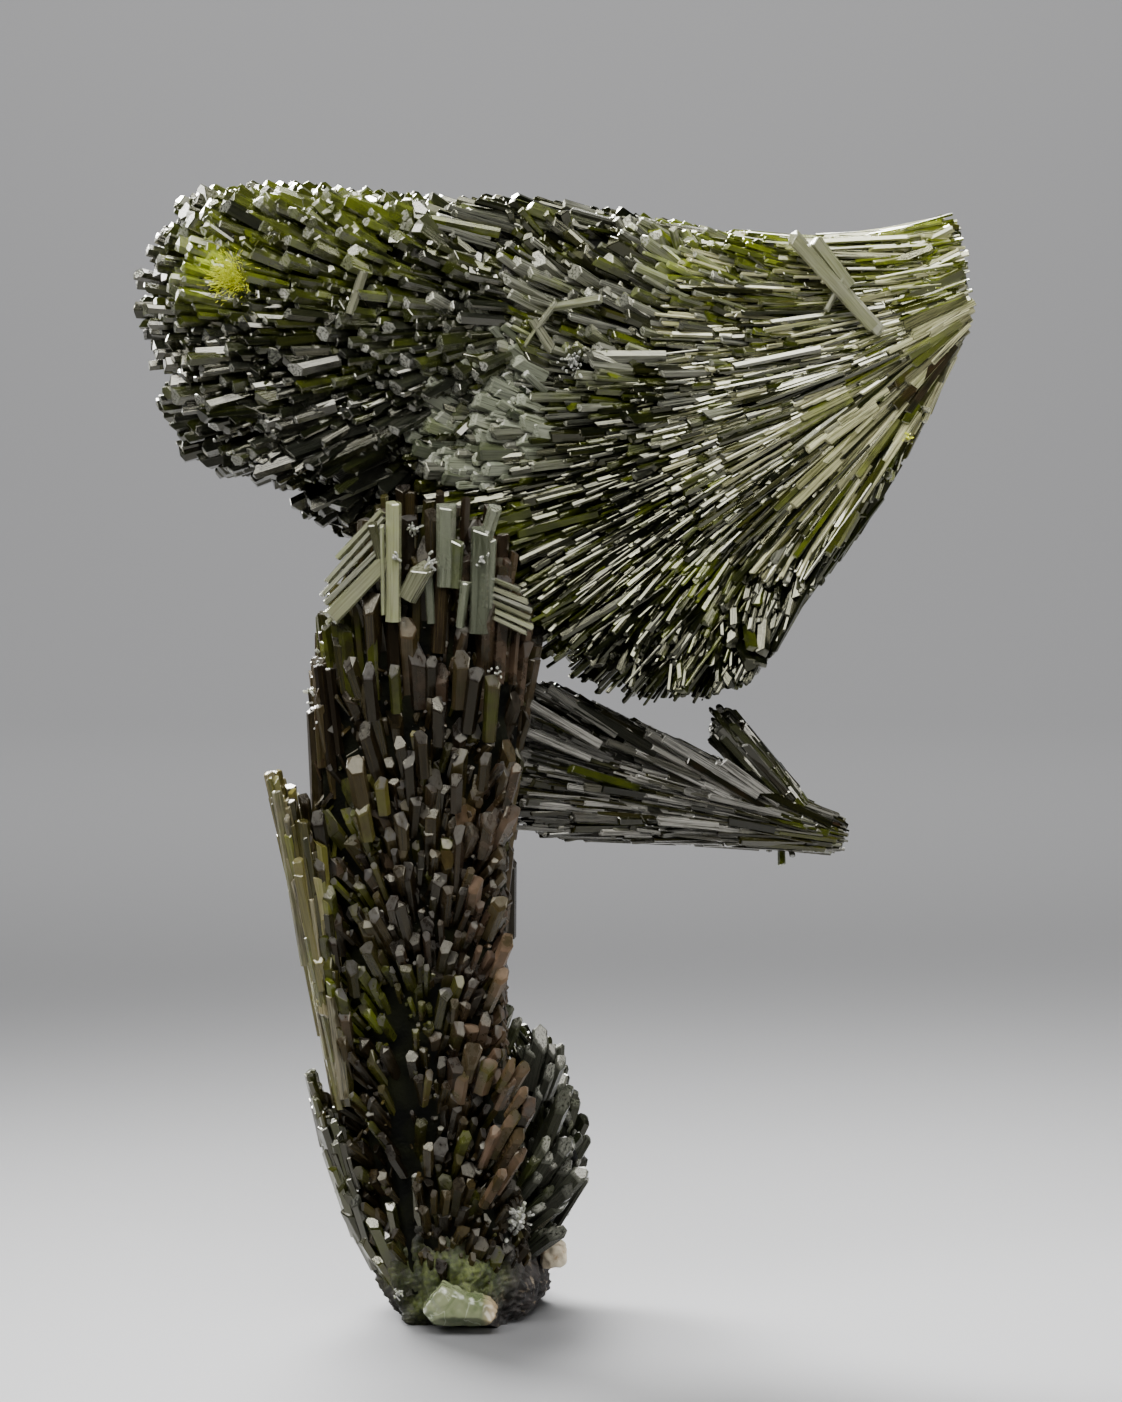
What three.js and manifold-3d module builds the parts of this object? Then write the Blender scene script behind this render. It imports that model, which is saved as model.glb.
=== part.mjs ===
// An epidote crystal cluster: sprays of flat-faced prisms that grew from one another.
// A thick upright spray stands on a broken foot. A wide crossbar of two sprays lies across its top, and a narrow arm,
// a side blade and a foot lobe grow from its flanks. Pale prisms lie across the dark ones.
// Millimetres. +X is to the right and +Z up as the cluster is seen from the front, and +Y runs to the back.
// The origin is the middle of the flat foot that it stands on.
import * as THREE from "three";
import { ConvexGeometry } from "three/addons/geometries/ConvexGeometry.js";
import { mergeVertices } from "three/addons/utils/BufferGeometryUtils.js";
import Module from "manifold-3d";

const wasm = await Module();
wasm.setup();

// Driving dimensions.
const CLEARANCE = 0.3; // left between pieces that grew against each other
const CORE_SHARE = 0.87; // reach of the solid heart of a spray, as a share of its whole reach
const OUTER_SHARE = 0.98; // reach of the outer face of a surface prism at its tip
const ROOT_SHARE = 0.78; // and where it leaves the heart
const BLUNT = 0.75; // under 1 makes a spray's section fuller than an ellipse
const RINGS = 5; // of the loft that makes a heart
const HEART_SIDES = 10;
const ROOM_SHARE = 1.02; // reach of the room that a spray needs, with all its prisms
const ROOM_SIDES = 12;
const LATH_FLATNESS = 0.6; // thickness of a surface prism over its width
const LATH_SLOPE = 0.7; // fall of its end face, per millimetre of thickness
const ROOF_STEEP = 0.95; // fall of the long end face of a six-sided prism, per millimetre across
const ROOF_SHALLOW = 0.45; // fall of its short end face
const SMALL_TURN = 0.05; // the angle over which the distance round a spray is measured
const BLOCK_SIDE = 400; // side of the blocks that cut the foot flat and part the crossbar

const TONES = {
  darkGreen: { color: 0x2c3020, roughness: 0.28, metalness: 0 },
  oliveGreen: { color: 0x4b4f22, roughness: 0.28, metalness: 0 },
  brownGreen: { color: 0x3a3428, roughness: 0.34, metalness: 0 },
  paleGreen: { color: 0xa9ac84, roughness: 0.22, metalness: 0 },
  glassyGreen: { color: 0xa3b48f, roughness: 0.2, metalness: 0 },
  cream: { color: 0xd8c9a8, roughness: 0.6, metalness: 0 },
};

// Each spray is a sheaf of curved strands. A guide strand is its root, bend and tip as [x, z], and the guides are
// listed from one edge of the spray to the other. middle is the depth of the sheaf's middle at its root, bend and
// tip, and half is how far it reaches in front of and behind that. rounding shortens the strands at the surface.
// rows are rings of prisms: where their tips lie along the strand, how many, how long and how wide.
// ends are rings of prisms at the sheaf's end, with their share of the reach, and tail is one at its root.
const FAN = {
  seed: 11,
  guides: [
    [[45.5, 110.4], [36.0, 105.4], [8.0, 112.0]],
    [[46.5, 108.8], [35.0, 103.0], [-4.0, 110.8]],
    [[47.2, 106.3], [34.0, 99.4], [-8.0, 103.0]],
    [[47.7, 103.3], [32.0, 94.8], [-9.5, 92.2]],
    [[47.7, 100.8], [31.0, 89.8], [-8.0, 83.2]],
    [[47.6, 99.3], [31.0, 84.8], [2.0, 71.8]],
    [[47.4, 98.3], [32.0, 79.8], [13.0, 63.5]],
    [[47.2, 97.3], [35.0, 78.8], [25.5, 63.5]],
    [[47.0, 96.8], [40.0, 83.8], [31.0, 70.8]],
    [[46.8, 96.6], [44.5, 88.8], [37.8, 79.1]],
  ],
  middle: [2.5, 3.0, 3.0],
  half: [3.6, 6.5, 9.5],
  rounding: 0.06,
  core: [0.02, 0.94],
  rows: [
    { at: 0.4, count: 8, length: 16, width: 3.4 },
    { at: 0.62, count: 11, length: 15, width: 4.4 },
    { at: 0.82, count: 12, length: 14, width: 5.0 },
  ],
  ends: [
    { share: 0.95, count: 20, length: 13, width: 5.0 },
    { share: 0.5, count: 8, length: 11, width: 5.0 },
  ],
  tail: { share: 0.85, count: 6, length: 9, width: 3.0 },
};

const HEAD = {
  seed: 23,
  guides: [
    [[6.0, 108.3], [-1.0, 109.6], [-4.0, 112.2]],
    [[6.0, 106.8], [-8.0, 109.0], [-18.0, 113.2]],
    [[5.0, 104.8], [-11.0, 107.6], [-28.6, 112.4]],
    [[4.0, 102.8], [-13.0, 103.8], [-32.6, 106.3]],
    [[3.5, 100.8], [-13.0, 100.8], [-33.4, 101.0]],
    [[3.0, 98.8], [-12.0, 96.8], [-31.5, 94.8]],
    [[3.0, 96.8], [-10.0, 92.8], [-30.8, 90.6]],
    [[3.0, 94.8], [-8.0, 89.8], [-27.2, 85.8]],
    [[3.5, 92.8], [-6.0, 87.8], [-19.0, 83.4]],
    [[5.0, 89.8], [-4.0, 85.8], [-18.0, 80.8]],
    [[6.0, 86.8], [-3.0, 81.8], [-13.6, 78.0]],
  ],
  middle: [3.0, 3.0, 2.5],
  half: [9.0, 12.0, 10.0],
  rounding: 0.12,
  core: [0.02, 0.88],
  rows: [
    { at: 0.52, count: 9, length: 11, width: 4.4 },
    { at: 0.78, count: 11, length: 11, width: 4.4 },
  ],
  ends: [
    { share: 0.94, count: 15, length: 10, width: 4.4 },
    { share: 0.5, count: 7, length: 9, width: 4.4 },
  ],
};

const UPRIGHT = {
  seed: 37,
  guides: [
    [[-10.5, 3.0], [-13.0, 20.0], [-16.6, 63.0]],
    [[-8.5, 1.3], [-11.5, 23.0], [-15.8, 72.0]],
    [[-6.0, 0.8], [-9.0, 27.0], [-12.6, 80.0]],
    [[-3.5, 0.8], [-6.5, 31.0], [-8.2, 85.0]],
    [[-1.0, 0.8], [-4.0, 32.0], [-3.5, 86.0]],
    [[1.5, 1.0], [-0.5, 33.0], [1.0, 84.0]],
    [[4.0, 2.5], [1.5, 34.0], [4.8, 76.5]],
    [[6.0, 4.0], [0.5, 36.0], [6.5, 68.0]],
  ],
  middle: [1.0, 0.5, -3.0],
  half: [10.0, 11.5, 7.5],
  rounding: 0.05,
  core: [0.03, 0.96],
  rows: [
    { at: 0.35, count: 9, length: 14, width: 4.2 },
    { at: 0.52, count: 10, length: 14, width: 4.4 },
    { at: 0.69, count: 10, length: 14, width: 4.4 },
    { at: 0.86, count: 9, length: 14, width: 4.4 },
  ],
  ends: [{ share: 0.95, count: 12, length: 13, width: 4.0 }],
};

const BLADE = {
  seed: 41,
  guides: [
    [[-14.0, 9.0], [-16.4, 32.0], [-21.2, 57.6]],
    [[-12.6, 9.0], [-14.6, 32.0], [-18.8, 55.0]],
    [[-8.6, 10.0], [-11.0, 32.0], [-14.6, 51.0]],
  ],
  middle: [-4.0, -5.6, -7.0],
  half: [4.6, 5.4, 3.6],
  rounding: 0.05,
  core: [0.02, 0.9],
  rows: [{ at: 0.62, count: 5, length: 18, width: 2.6 }],
  ends: [{ share: 0.9, count: 7, length: 18, width: 2.4 }],
};

const LOBE = {
  seed: 53,
  guides: [
    [[0.0, 4.0], [1.4, 17.5], [3.6, 30.6]],
    [[1.5, 3.6], [5.4, 16.6], [8.2, 26.6]],
    [[2.0, 3.2], [6.5, 13.4], [9.4, 20.8]],
    [[2.5, 3.0], [7.0, 10.2], [11.0, 15.4]],
    [[3.0, 2.6], [7.0, 7.0], [9.2, 9.5]],
  ],
  middle: [3.0, 5.4, 6.0],
  half: [5.0, 7.0, 7.0],
  rounding: 0.1,
  core: [0.02, 0.9],
  rows: [{ at: 0.72, count: 5, length: 8, width: 3.6 }],
  ends: [
    { share: 0.94, count: 8, length: 8, width: 3.4 },
    { share: 0.3, count: 1, length: 8, width: 3.6 },
  ],
};

const ARM = {
  seed: 67,
  guides: [
    [[35.6, 50.4], [22.0, 57.0], [5.0, 64.6]],
    [[35.6, 49.3], [20.0, 54.8], [2.0, 59.8]],
    [[35.5, 48.3], [20.0, 51.8], [2.0, 54.8]],
    [[35.3, 47.3], [22.0, 49.0], [2.0, 50.8]],
    [[34.5, 46.6], [22.0, 47.8], [7.0, 48.2]],
  ],
  middle: [2.0, 2.0, 1.0],
  half: [1.8, 3.6, 5.0],
  rounding: 0,
  core: [0.0, 0.97],
  rows: [
    { at: 0.38, count: 6, length: 12, width: 2.0 },
    { at: 0.62, count: 7, length: 13, width: 2.8 },
  ],
  ends: [],
  tail: { share: 0.85, count: 4, length: 8, width: 1.8 },
};

// Prisms listed one by one: from the buried end to the tip, [x, y, z], then width and thickness.
const SPUR = [
  { from: [33.2, 2.0, 50.4], to: [22.7, 1.6, 61.9], width: 1.5, thick: 1.3 },
  { from: [32.8, 0.9, 50.2], to: [24.4, 0.6, 61.2], width: 1.4, thick: 1.2 },
  { from: [32.6, 3.0, 50.2], to: [23.6, 3.0, 60.0], width: 1.3, thick: 1.4 },
  { from: [32.0, 1.6, 50.2], to: [22.6, 1.2, 58.4], width: 1.2, thick: 1.8 },
];

const CROWN_LEFT = [
  { from: [-8.7, -11.0, 70.0], to: [-8.2, -11.1, 83.2], width: 1.9, thick: 1.7 },
  { from: [-7.6, -11.0, 78.6], to: [-15.3, -10.0, 71.9], width: 2.0, thick: 1.6 },
  { from: [-7.8, -10.8, 80.4], to: [-15.6, -9.6, 73.4], width: 1.4, thick: 1.5 },
  { from: [-7.8, -10.6, 82.2], to: [-15.2, -9.2, 75.2], width: 1.3, thick: 1.5 },
  { from: [-9.0, -10.9, 74.6], to: [-4.9, -11.2, 76.4], width: 2.2, thick: 1.8 },
];

const CROWN_MIDDLE = [
  { from: [-3.5, -10.7, 71.0], to: [-3.2, -10.8, 82.7], width: 1.9, thick: 1.8 },
  { from: [-3.0, -10.3, 73.0], to: [-1.6, -10.4, 79.6], width: 1.3, thick: 1.6 },
];

const CROWN_RIGHT = [
  { from: [0.2, -10.2, 69.0], to: [0.5, -10.4, 82.6], width: 2.0, thick: 1.8 },
  { from: [-0.4, -10.0, 74.0], to: [5.6, -9.0, 71.4], width: 1.9, thick: 1.8 },
];

const CROSSED = [
  { from: [36.4, -2.4, 103.0], to: [30.7, -3.2, 108.8], width: 1.2, thick: 1.0 },
  { from: [36.6, -2.3, 104.0], to: [33.1, -2.8, 108.5], width: 1.0, thick: 1.0 },
  { from: [35.2, -2.5, 104.2], to: [39.7, -2.3, 99.4], width: 1.3, thick: 1.0 },
  { from: [36.0, -2.6, 103.9], to: [34.4, -2.6, 101.3], width: 0.6, thick: 0.8 },
];

const TWIN = [
  { from: [7.0, -5.2, 101.6], to: [12.2, -4.8, 102.5], width: 0.9, thick: 0.9 },
  { from: [7.7, -5.2, 102.2], to: [5.6, -5.0, 99.4], width: 0.7, thick: 0.9 },
  { from: [5.3, -5.0, 100.4], to: [7.3, -5.0, 97.3], width: 1.1, thick: 0.9 },
  { from: [6.0, -5.0, 100.1], to: [4.4, -5.0, 97.6], width: 0.5, thick: 0.8 },
];

const STRAY = [{ from: [-12.6, -8.2, 101.1], to: [-11.2, -7.2, 105.4], width: 1.0, thick: 0.8 }];

// The rough foot, as rings of [x, y] at a height, from the floor up.
const FOOT_RINGS = [
  { z: 0, ring: [[-6.6, -6.5], [2.0, -7.5], [4.6, -2.0], [6.2, 6.0], [2.0, 11.0], [-5.0, 10.0], [-8.0, 2.0]] },
  { z: 2.2, ring: [[-9.4, -6.5], [-1.0, -10.2], [5.4, -5.5], [8.0, 4.0], [4.5, 12.0], [-6.0, 12.0], [-10.2, 2.0]] },
  { z: 7.0, ring: [[-11.6, -6.5], [-3.0, -10.0], [4.6, -6.5], [7.0, 4.0], [4.0, 11.5], [-7.0, 12.0], [-12.2, 3.0]] },
  { z: 15.0, ring: [[-10.6, -4.0], [-5.0, -6.4], [1.0, -5.0], [2.6, 3.0], [0.5, 7.0], [-7.0, 7.6], [-10.8, 2.0]] },
];

// Broken lumps, each the hull of its corners [x, y, z].
const CHUNK_CORNERS = [
  [-5.2, -6.8, 0], [1.0, -6.8, 0], [1.9, -10.6, 1.6], [-2.2, -11.8, 0], [-5.8, -10.6, 1.2],
  [-4.8, -11.0, 3.4], [-3.2, -11.2, 4.6], [-0.6, -12.0, 3.8], [1.6, -11.0, 3.0], [-3.6, -12.4, 1.4],
  [-1.0, -12.5, 1.2], [-3.0, -9.0, 4.9], [0.8, -9.0, 3.9], [-5.2, -8.8, 3.2],
];
const NODULE_CORNERS = [
  [7.4, 0.4, 4.4], [8.4, -0.4, 4.9], [8.7, 1.4, 5.6], [8.3, 0.0, 6.5], [7.2, -0.6, 6.4],
  [6.0, -0.4, 5.0], [8.0, 2.4, 6.4], [8.2, 2.4, 5.0], [7.6, 1.4, 7.0], [6.2, 2.6, 5.6],
];

// Two points of the slanting plane that parts the crossbar's sprays, as [x, y].
const CROSSBAR_FORK = { front: [-9, -12], back: [3, 15] };

function randomFrom(seed) {
  let state = seed;
  return () => {
    state = (state * 16807) % 2147483647;
    return state / 2147483647;
  };
}

// A closed three.js geometry as a manifold-3d solid.
function solidOf(geometry) {
  const bare = geometry.clone();
  bare.deleteAttribute("normal");
  bare.deleteAttribute("uv");
  const merged = mergeVertices(bare, 1e-4);
  return new wasm.Manifold(
    new wasm.Mesh({
      numProp: 3,
      vertProperties: new Float32Array(merged.attributes.position.array),
      triVerts: new Uint32Array(merged.index.array),
    }),
  );
}

function joined(solids) {
  return solids.reduce((whole, piece) => whole.add(piece));
}

function hull(corners) {
  return solidOf(new ConvexGeometry(corners.map((corner) => new THREE.Vector3(...corner))));
}

// One crystal of a list: a flattened six-sided prism with a ridge at its tip and a sloping face on either side.
function prism({ from, to, width, thick }) {
  const start = new THREE.Vector3(...from);
  const along = new THREE.Vector3(...to).sub(start);
  const length = along.length();
  const turn = new THREE.Quaternion().setFromUnitVectors(new THREE.Vector3(0, 0, 1), along.normalize());
  const corners = [];
  for (let side = 0; side < 6; side += 1) {
    const angle = (side * Math.PI) / 3;
    const x = Math.cos(angle) * (width / 2);
    const y = Math.sin(angle) * (thick / 2);
    const fall = y > 0 ? y * ROOF_STEEP : -y * ROOF_SHALLOW;
    for (const height of [0, length - fall]) {
      corners.push(new THREE.Vector3(x, y, height).applyQuaternion(turn).add(start));
    }
  }
  return solidOf(new ConvexGeometry(corners));
}

// The strand of a spray at an angle round its middle and a share of its reach. Angle 0 is the edge of the first
// guide, half a turn is the edge of the last, and a quarter turn is the back.
function strand(spray, angle, share) {
  const across = 0.5 - 0.5 * share * Math.cos(angle);
  const side = Math.sin(angle);
  const depth = share * Math.sign(side) * Math.abs(side) ** BLUNT;
  const [root, bend, tip] = [0, 1, 2].map((part) => {
    const line = new THREE.SplineCurve(spray.guides.map((guide) => new THREE.Vector2(...guide[part])));
    const flat = line.getPoint(THREE.MathUtils.clamp(across, 0, 1));
    return new THREE.Vector3(flat.x, spray.middle[part] + spray.half[part] * depth, flat.y);
  });
  return new THREE.QuadraticBezierCurve3(root, bend, tip);
}

// The loft through a spray's strands at a share of its reach, ring by ring. Two rings of a smaller share and a point
// close each end. grow pushes every ring outwards.
function loft(spray, share, [first, last], sides, grow = 0) {
  const stations = [[0, first], [0.5, first], [1, first]];
  for (let ring = 1; ring <= RINGS; ring += 1) {
    stations.push([1, first + ((last - first) * ring) / RINGS]);
  }
  stations.push([0.5, last], [0, last]);
  const points = stations.flatMap(([part, reach]) => {
    if (part === 0) return [strand(spray, 0, 0).getPoint(reach)];
    const loop = Array.from({ length: sides }, (_, side) =>
      strand(spray, (2 * Math.PI * side) / sides, share * part).getPoint(reach),
    );
    const middle = loop.reduce((sum, point) => sum.addScaledVector(point, 1 / sides), new THREE.Vector3());
    return loop.map((point) => point.addScaledVector(point.clone().sub(middle).normalize(), grow * part));
  });
  const faces = [];
  const end = points.length - 1;
  for (let side = 0; side < sides; side += 1) {
    const next = (side + 1) % sides;
    for (let ring = 0; ring + 1 < stations.length - 2; ring += 1) {
      const low = 1 + ring * sides;
      const high = low + sides;
      faces.push([low + side, low + next, high + next], [low + side, high + next, high + side]);
    }
    faces.push([1 + next, 1 + side, 0], [end - sides + side, end - sides + next, end]);
  }
  const geometry = new THREE.BufferGeometry().setFromPoints(points);
  geometry.setIndex(faces.flat());
  const made = solidOf(geometry);
  if (made.volume() > 0) return made;
  geometry.setIndex(faces.map(([a, b, c]) => [a, c, b]).flat());
  return solidOf(geometry);
}

// One crystal of a spray: a flat four-sided prism with its eight corners on strands of the spray. Its outer face
// rises from the heart to the share at tipAt, and its end face slopes, by LATH_SLOPE and a little to one side, by lean.
function lath(spray, { angle, share, tipAt, rootAt, width, lean }) {
  const tip = strand(spray, angle, share).getPoint(tipAt);
  const reach = tip.distanceTo(strand(spray, angle, 0).getPoint(tipAt));
  const sideways = tip.distanceTo(strand(spray, angle + SMALL_TURN, share).getPoint(tipAt)) / SMALL_TURN;
  const thick = width * LATH_FLATNESS;
  const inner = Math.max(0, share - thick / reach);
  const forward = (LATH_SLOPE * thick * Math.sign(tipAt - rootAt)) / strand(spray, angle, share).getLength();
  const corners = [];
  for (const side of [-1, 1]) {
    const turned = angle + (side * width) / 2 / sideways;
    const end = tipAt + side * lean * forward;
    corners.push(strand(spray, turned, share).getPoint(end), strand(spray, turned, inner).getPoint(end + forward));
    for (const part of [share, inner]) corners.push(strand(spray, turned, part * ROOT_SHARE).getPoint(rootAt));
  }
  return solidOf(new ConvexGeometry(corners));
}

// The prisms of a spray: rings along its surface, rings at its end, and short ones that point back at its root.
function laths(spray) {
  const random = randomFrom(spray.seed);
  const vary = (value, share) => value * (1 + share * (2 * random() - 1));
  // Half of the way to an even spread across the guides, so that the flat sides get their part.
  const angleAt = (turn) => {
    const part = turn - Math.floor(turn);
    const even = part < 0.5 ? Math.acos(1 - 4 * part) : Math.PI + Math.acos(3 - 4 * part);
    return 0.5 * even + Math.PI * part;
  };
  const made = [];
  const place = (turn, share, tipAt, ring, way) => {
    const angle = angleAt(turn);
    const run = vary(ring.length, 0.2) / strand(spray, angle, share).getLength();
    const rootAt = THREE.MathUtils.clamp(tipAt - way * run, 0, 1);
    made.push(lath(spray, { angle, share, tipAt, rootAt, width: vary(ring.width, 0.25), lean: random() - 0.5 }));
  };
  spray.rows.forEach((ring, row) => {
    for (let i = 0; i < ring.count; i += 1) {
      const turn = (i + 0.5 * (row % 2) + 0.5 * random()) / ring.count;
      place(turn, OUTER_SHARE, vary(ring.at, 0.06), ring, 1);
    }
  });
  for (const ring of spray.ends) {
    for (let i = 0; i < ring.count; i += 1) {
      const turn = (i + 0.4 * random()) / ring.count;
      const short = spray.rounding * ring.share ** 2 * Math.abs(Math.sin(angleAt(turn)));
      place(turn, ring.share, 1 - short - 0.04 * random(), ring, 1);
    }
  }
  if (spray.tail) {
    for (let i = 0; i < spray.tail.count; i += 1) {
      place((i + 0.4 * random()) / spray.tail.count, spray.tail.share, 0.02 * random(), spray.tail, -1);
    }
  }
  return made;
}

function sprayOf(spray) {
  return joined([loft(spray, CORE_SHARE, spray.core, HEART_SIDES), ...laths(spray)]);
}

// The room that a spray needs with all its prisms, which its neighbours leave free.
function roomOf(spray) {
  return loft(spray, ROOM_SHARE, [-0.02, 1.04], ROOM_SIDES, CLEARANCE);
}

function bundle(list) {
  return joined(list.map(prism));
}

// The foot: the hulls of its rings, two by two.
function foot(grow = 0) {
  const slabs = [];
  for (let i = 0; i + 1 < FOOT_RINGS.length; i += 1) {
    const corners = [FOOT_RINGS[i], FOOT_RINGS[i + 1]].flatMap(({ z, ring }) =>
      ring.map(([x, y]) => {
        const out = new THREE.Vector2(x, y).setLength(Math.hypot(x, y) + grow);
        return [out.x, out.y, z === FOOT_RINGS.at(-1).z ? z + grow : z];
      }),
    );
    slabs.push(hull(corners));
  }
  return joined(slabs);
}

// The space below the floor.
function belowFloor() {
  const block = new THREE.BoxGeometry(BLOCK_SIDE, BLOCK_SIDE, BLOCK_SIDE);
  block.translate(0, 0, -BLOCK_SIDE / 2);
  return solidOf(block);
}

// Everything on one side of the slanting plane between the crossbar's sprays: side 1 is the fan's, side -1 the head's.
function crossbarSide(side) {
  const [x, y] = CROSSBAR_FORK.front;
  const slope = Math.atan2(CROSSBAR_FORK.back[1] - y, CROSSBAR_FORK.back[0] - x);
  const block = new THREE.BoxGeometry(BLOCK_SIDE, BLOCK_SIDE, BLOCK_SIDE);
  block.translate(0, (-side * (BLOCK_SIDE + CLEARANCE)) / 2, 0);
  block.rotateZ(slope);
  block.translate(x, y, 0);
  return solidOf(block);
}

// A finished spray with the clearance on every side but above.
function around(solid) {
  const shifts = [[0, 0, 0], [-1, 0, 0], [1, 0, 0], [0, -1, 0], [0, 1, 0], [0, 0, -1]];
  return joined(shifts.map((shift) => solid.translate(shift.map((part) => part * CLEARANCE))));
}

const fan = sprayOf(FAN).intersect(crossbarSide(1));
const head = sprayOf(HEAD).intersect(crossbarSide(-1));
const rooms = {
  fan: roomOf(FAN).add(around(fan)),
  head: roomOf(HEAD).add(around(head)),
  upright: roomOf(UPRIGHT).add(foot(CLEARANCE)),
};

function without(solid, ...names) {
  return names.reduce((left, name) => left.subtract(rooms[name]), solid);
}

const nodes = [
  ["fan_spray", "oliveGreen", fan],
  ["head_spray", "darkGreen", head],
  ["upright_spray", "brownGreen", without(joined([foot(), sprayOf(UPRIGHT)]), "fan", "head").subtract(belowFloor())],
  ["arm_spray", "darkGreen", without(joined([sprayOf(ARM), bundle(SPUR)]), "upright")],
  ["side_blade", "oliveGreen", without(sprayOf(BLADE), "upright")],
  ["foot_lobe", "darkGreen", without(sprayOf(LOBE), "upright").subtract(belowFloor())],
  ["crown_left", "paleGreen", without(bundle(CROWN_LEFT), "upright", "head")],
  ["crown_middle", "glassyGreen", without(bundle(CROWN_MIDDLE), "upright", "head", "fan")],
  ["crown_right", "glassyGreen", without(bundle(CROWN_RIGHT), "upright", "fan")],
  ["crossed_prisms", "paleGreen", without(bundle(CROSSED), "fan")],
  ["twin_prisms", "paleGreen", without(bundle(TWIN), "fan")],
  ["stray_prism", "paleGreen", without(bundle(STRAY), "head")],
  ["foot_chunk", "glassyGreen", without(hull(CHUNK_CORNERS), "upright")],
  ["cream_nodule", "cream", without(hull(NODULE_CORNERS), "upright")],
];

const cluster = new THREE.Group();
for (const [name, tone, solid] of nodes) {
  const whole = solid.decompose().reduce((best, part) => (part.volume() > best.volume() ? part : best));
  const made = whole.getMesh();
  const geometry = new THREE.BufferGeometry();
  geometry.setAttribute("position", new THREE.BufferAttribute(made.vertProperties, 3));
  geometry.setIndex(new THREE.BufferAttribute(made.triVerts, 1));
  const mesh = new THREE.Mesh(geometry, new THREE.MeshStandardMaterial(TONES[tone]));
  mesh.name = name;
  cluster.add(mesh);
}

export default cluster;
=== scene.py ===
import math

import bpy
import numpy as np
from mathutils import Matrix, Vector


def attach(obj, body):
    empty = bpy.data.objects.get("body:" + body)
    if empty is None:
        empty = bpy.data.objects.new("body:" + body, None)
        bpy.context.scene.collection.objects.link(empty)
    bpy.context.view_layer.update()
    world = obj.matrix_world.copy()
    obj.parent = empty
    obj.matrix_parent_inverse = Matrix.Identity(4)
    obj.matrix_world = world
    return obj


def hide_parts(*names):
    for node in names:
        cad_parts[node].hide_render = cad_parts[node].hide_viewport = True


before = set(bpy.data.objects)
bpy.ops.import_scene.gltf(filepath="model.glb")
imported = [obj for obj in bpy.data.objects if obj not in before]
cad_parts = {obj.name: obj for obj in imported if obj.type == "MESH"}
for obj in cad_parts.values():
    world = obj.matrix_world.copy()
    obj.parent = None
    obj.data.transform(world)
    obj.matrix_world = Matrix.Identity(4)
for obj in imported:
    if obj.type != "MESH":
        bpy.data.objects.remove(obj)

# An epidote crystal cluster. Thousands of flat-faced prisms grow along the strands of a few sprays.
# Lengths in the dictionaries are millimetres, and meshes are in metres.
mm = 0.001
blunt = 0.75             # under 1 makes a spray's section fuller than an ellipse
sideCut = 0.48           # slant of the narrow side faces, the same on every crystal
pointsEach = 19          # points of a crystal: base, shoulder and rim of six, and the top
leastBase = 0.84         # the narrowest base, as a share of the section
mostInset = 0.35         # the widest bevel, as a share of half the thickness
mapShift = 50            # how far the face map is moved by chance from crystal to crystal
traitWaves = 22          # size of the slow waves of tone, painted glow, rust, and the film of dust and painted sheen
fadeFrom, fadeOver = 3, 5     # patches of those fade towards the back from this depth and over this distance
lessDustAndSheen, lessOver = 0.6, 8  # the film of dust and painted sheen is less by this at the back, from the middle and over this depth
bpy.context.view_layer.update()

# The sprays. A guide is the root, bend and tip of a strand as (x, z), from one edge of the spray to the other.
# middle and half are the depth of the sheaf's middle and its reach to front and back, at root, bend and tip.
fan = {
    "guides": [
        [(45.5, 110.4), (36, 105.4), (8, 112)], [(46.5, 108.8), (35, 103), (-4, 110.8)],
        [(47.2, 106.3), (34, 99.4), (-8, 103)], [(47.7, 103.3), (32, 94.8), (-9.5, 92.2)],
        [(47.7, 100.8), (31, 89.8), (-8, 83.2)], [(47.6, 99.3), (31, 84.8), (2, 71.8)],
        [(47.4, 98.3), (32, 79.8), (13, 63.5)], [(47.2, 97.3), (35, 78.8), (25.5, 63.5)],
        [(47, 96.8), (40, 83.8), (31, 70.8)], [(46.8, 96.6), (44.5, 88.8), (37.8, 79.1)],
    ],
    "middle": (2.5, 3, 3), "half": (3.6, 6.5, 9.5), "rounding": 0.06,
}
head = {
    "guides": [
        [(6, 108.3), (-1, 109.6), (-4, 112.2)], [(6, 106.8), (-8, 109), (-18, 113.2)],
        [(5, 104.8), (-11, 107.6), (-28.6, 112.4)], [(4, 102.8), (-13, 103.8), (-32.6, 106.3)],
        [(3.5, 100.8), (-13, 100.8), (-33.4, 101)], [(3, 98.8), (-12, 96.8), (-31.5, 94.8)],
        [(3, 96.8), (-10, 92.8), (-30.8, 90.6)], [(3, 94.8), (-8, 89.8), (-27.2, 85.8)],
        [(3.5, 92.8), (-6, 87.8), (-19, 83.4)], [(5, 89.8), (-4, 85.8), (-18, 80.8)],
        [(6, 86.8), (-3, 81.8), (-13.6, 78)],
    ],
    "middle": (3, 3, 2.5), "half": (9, 12, 10), "rounding": 0.12,
}
upright = {
    "guides": [
        [(-9, 2.6), (-16.6, 14), (-16.4, 63)], [(-8, 1.3), (-13.2, 20), (-15.8, 72)],
        [(-6, 0.8), (-9.6, 26), (-12.6, 80)], [(-3.5, 0.8), (-6.5, 31), (-8.2, 85)],
        [(-1, 0.8), (-4, 32), (-3.5, 86)], [(1.5, 1), (-0.5, 33), (1, 84)], [(4, 2.5), (0.6, 34), (4.6, 76.5)],
        [(6, 4), (-1.4, 36), (6.2, 68)],
    ],
    "middle": (1, 0.5, -3), "half": (10, 11.5, 7.5), "rounding": 0.05,
}
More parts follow.
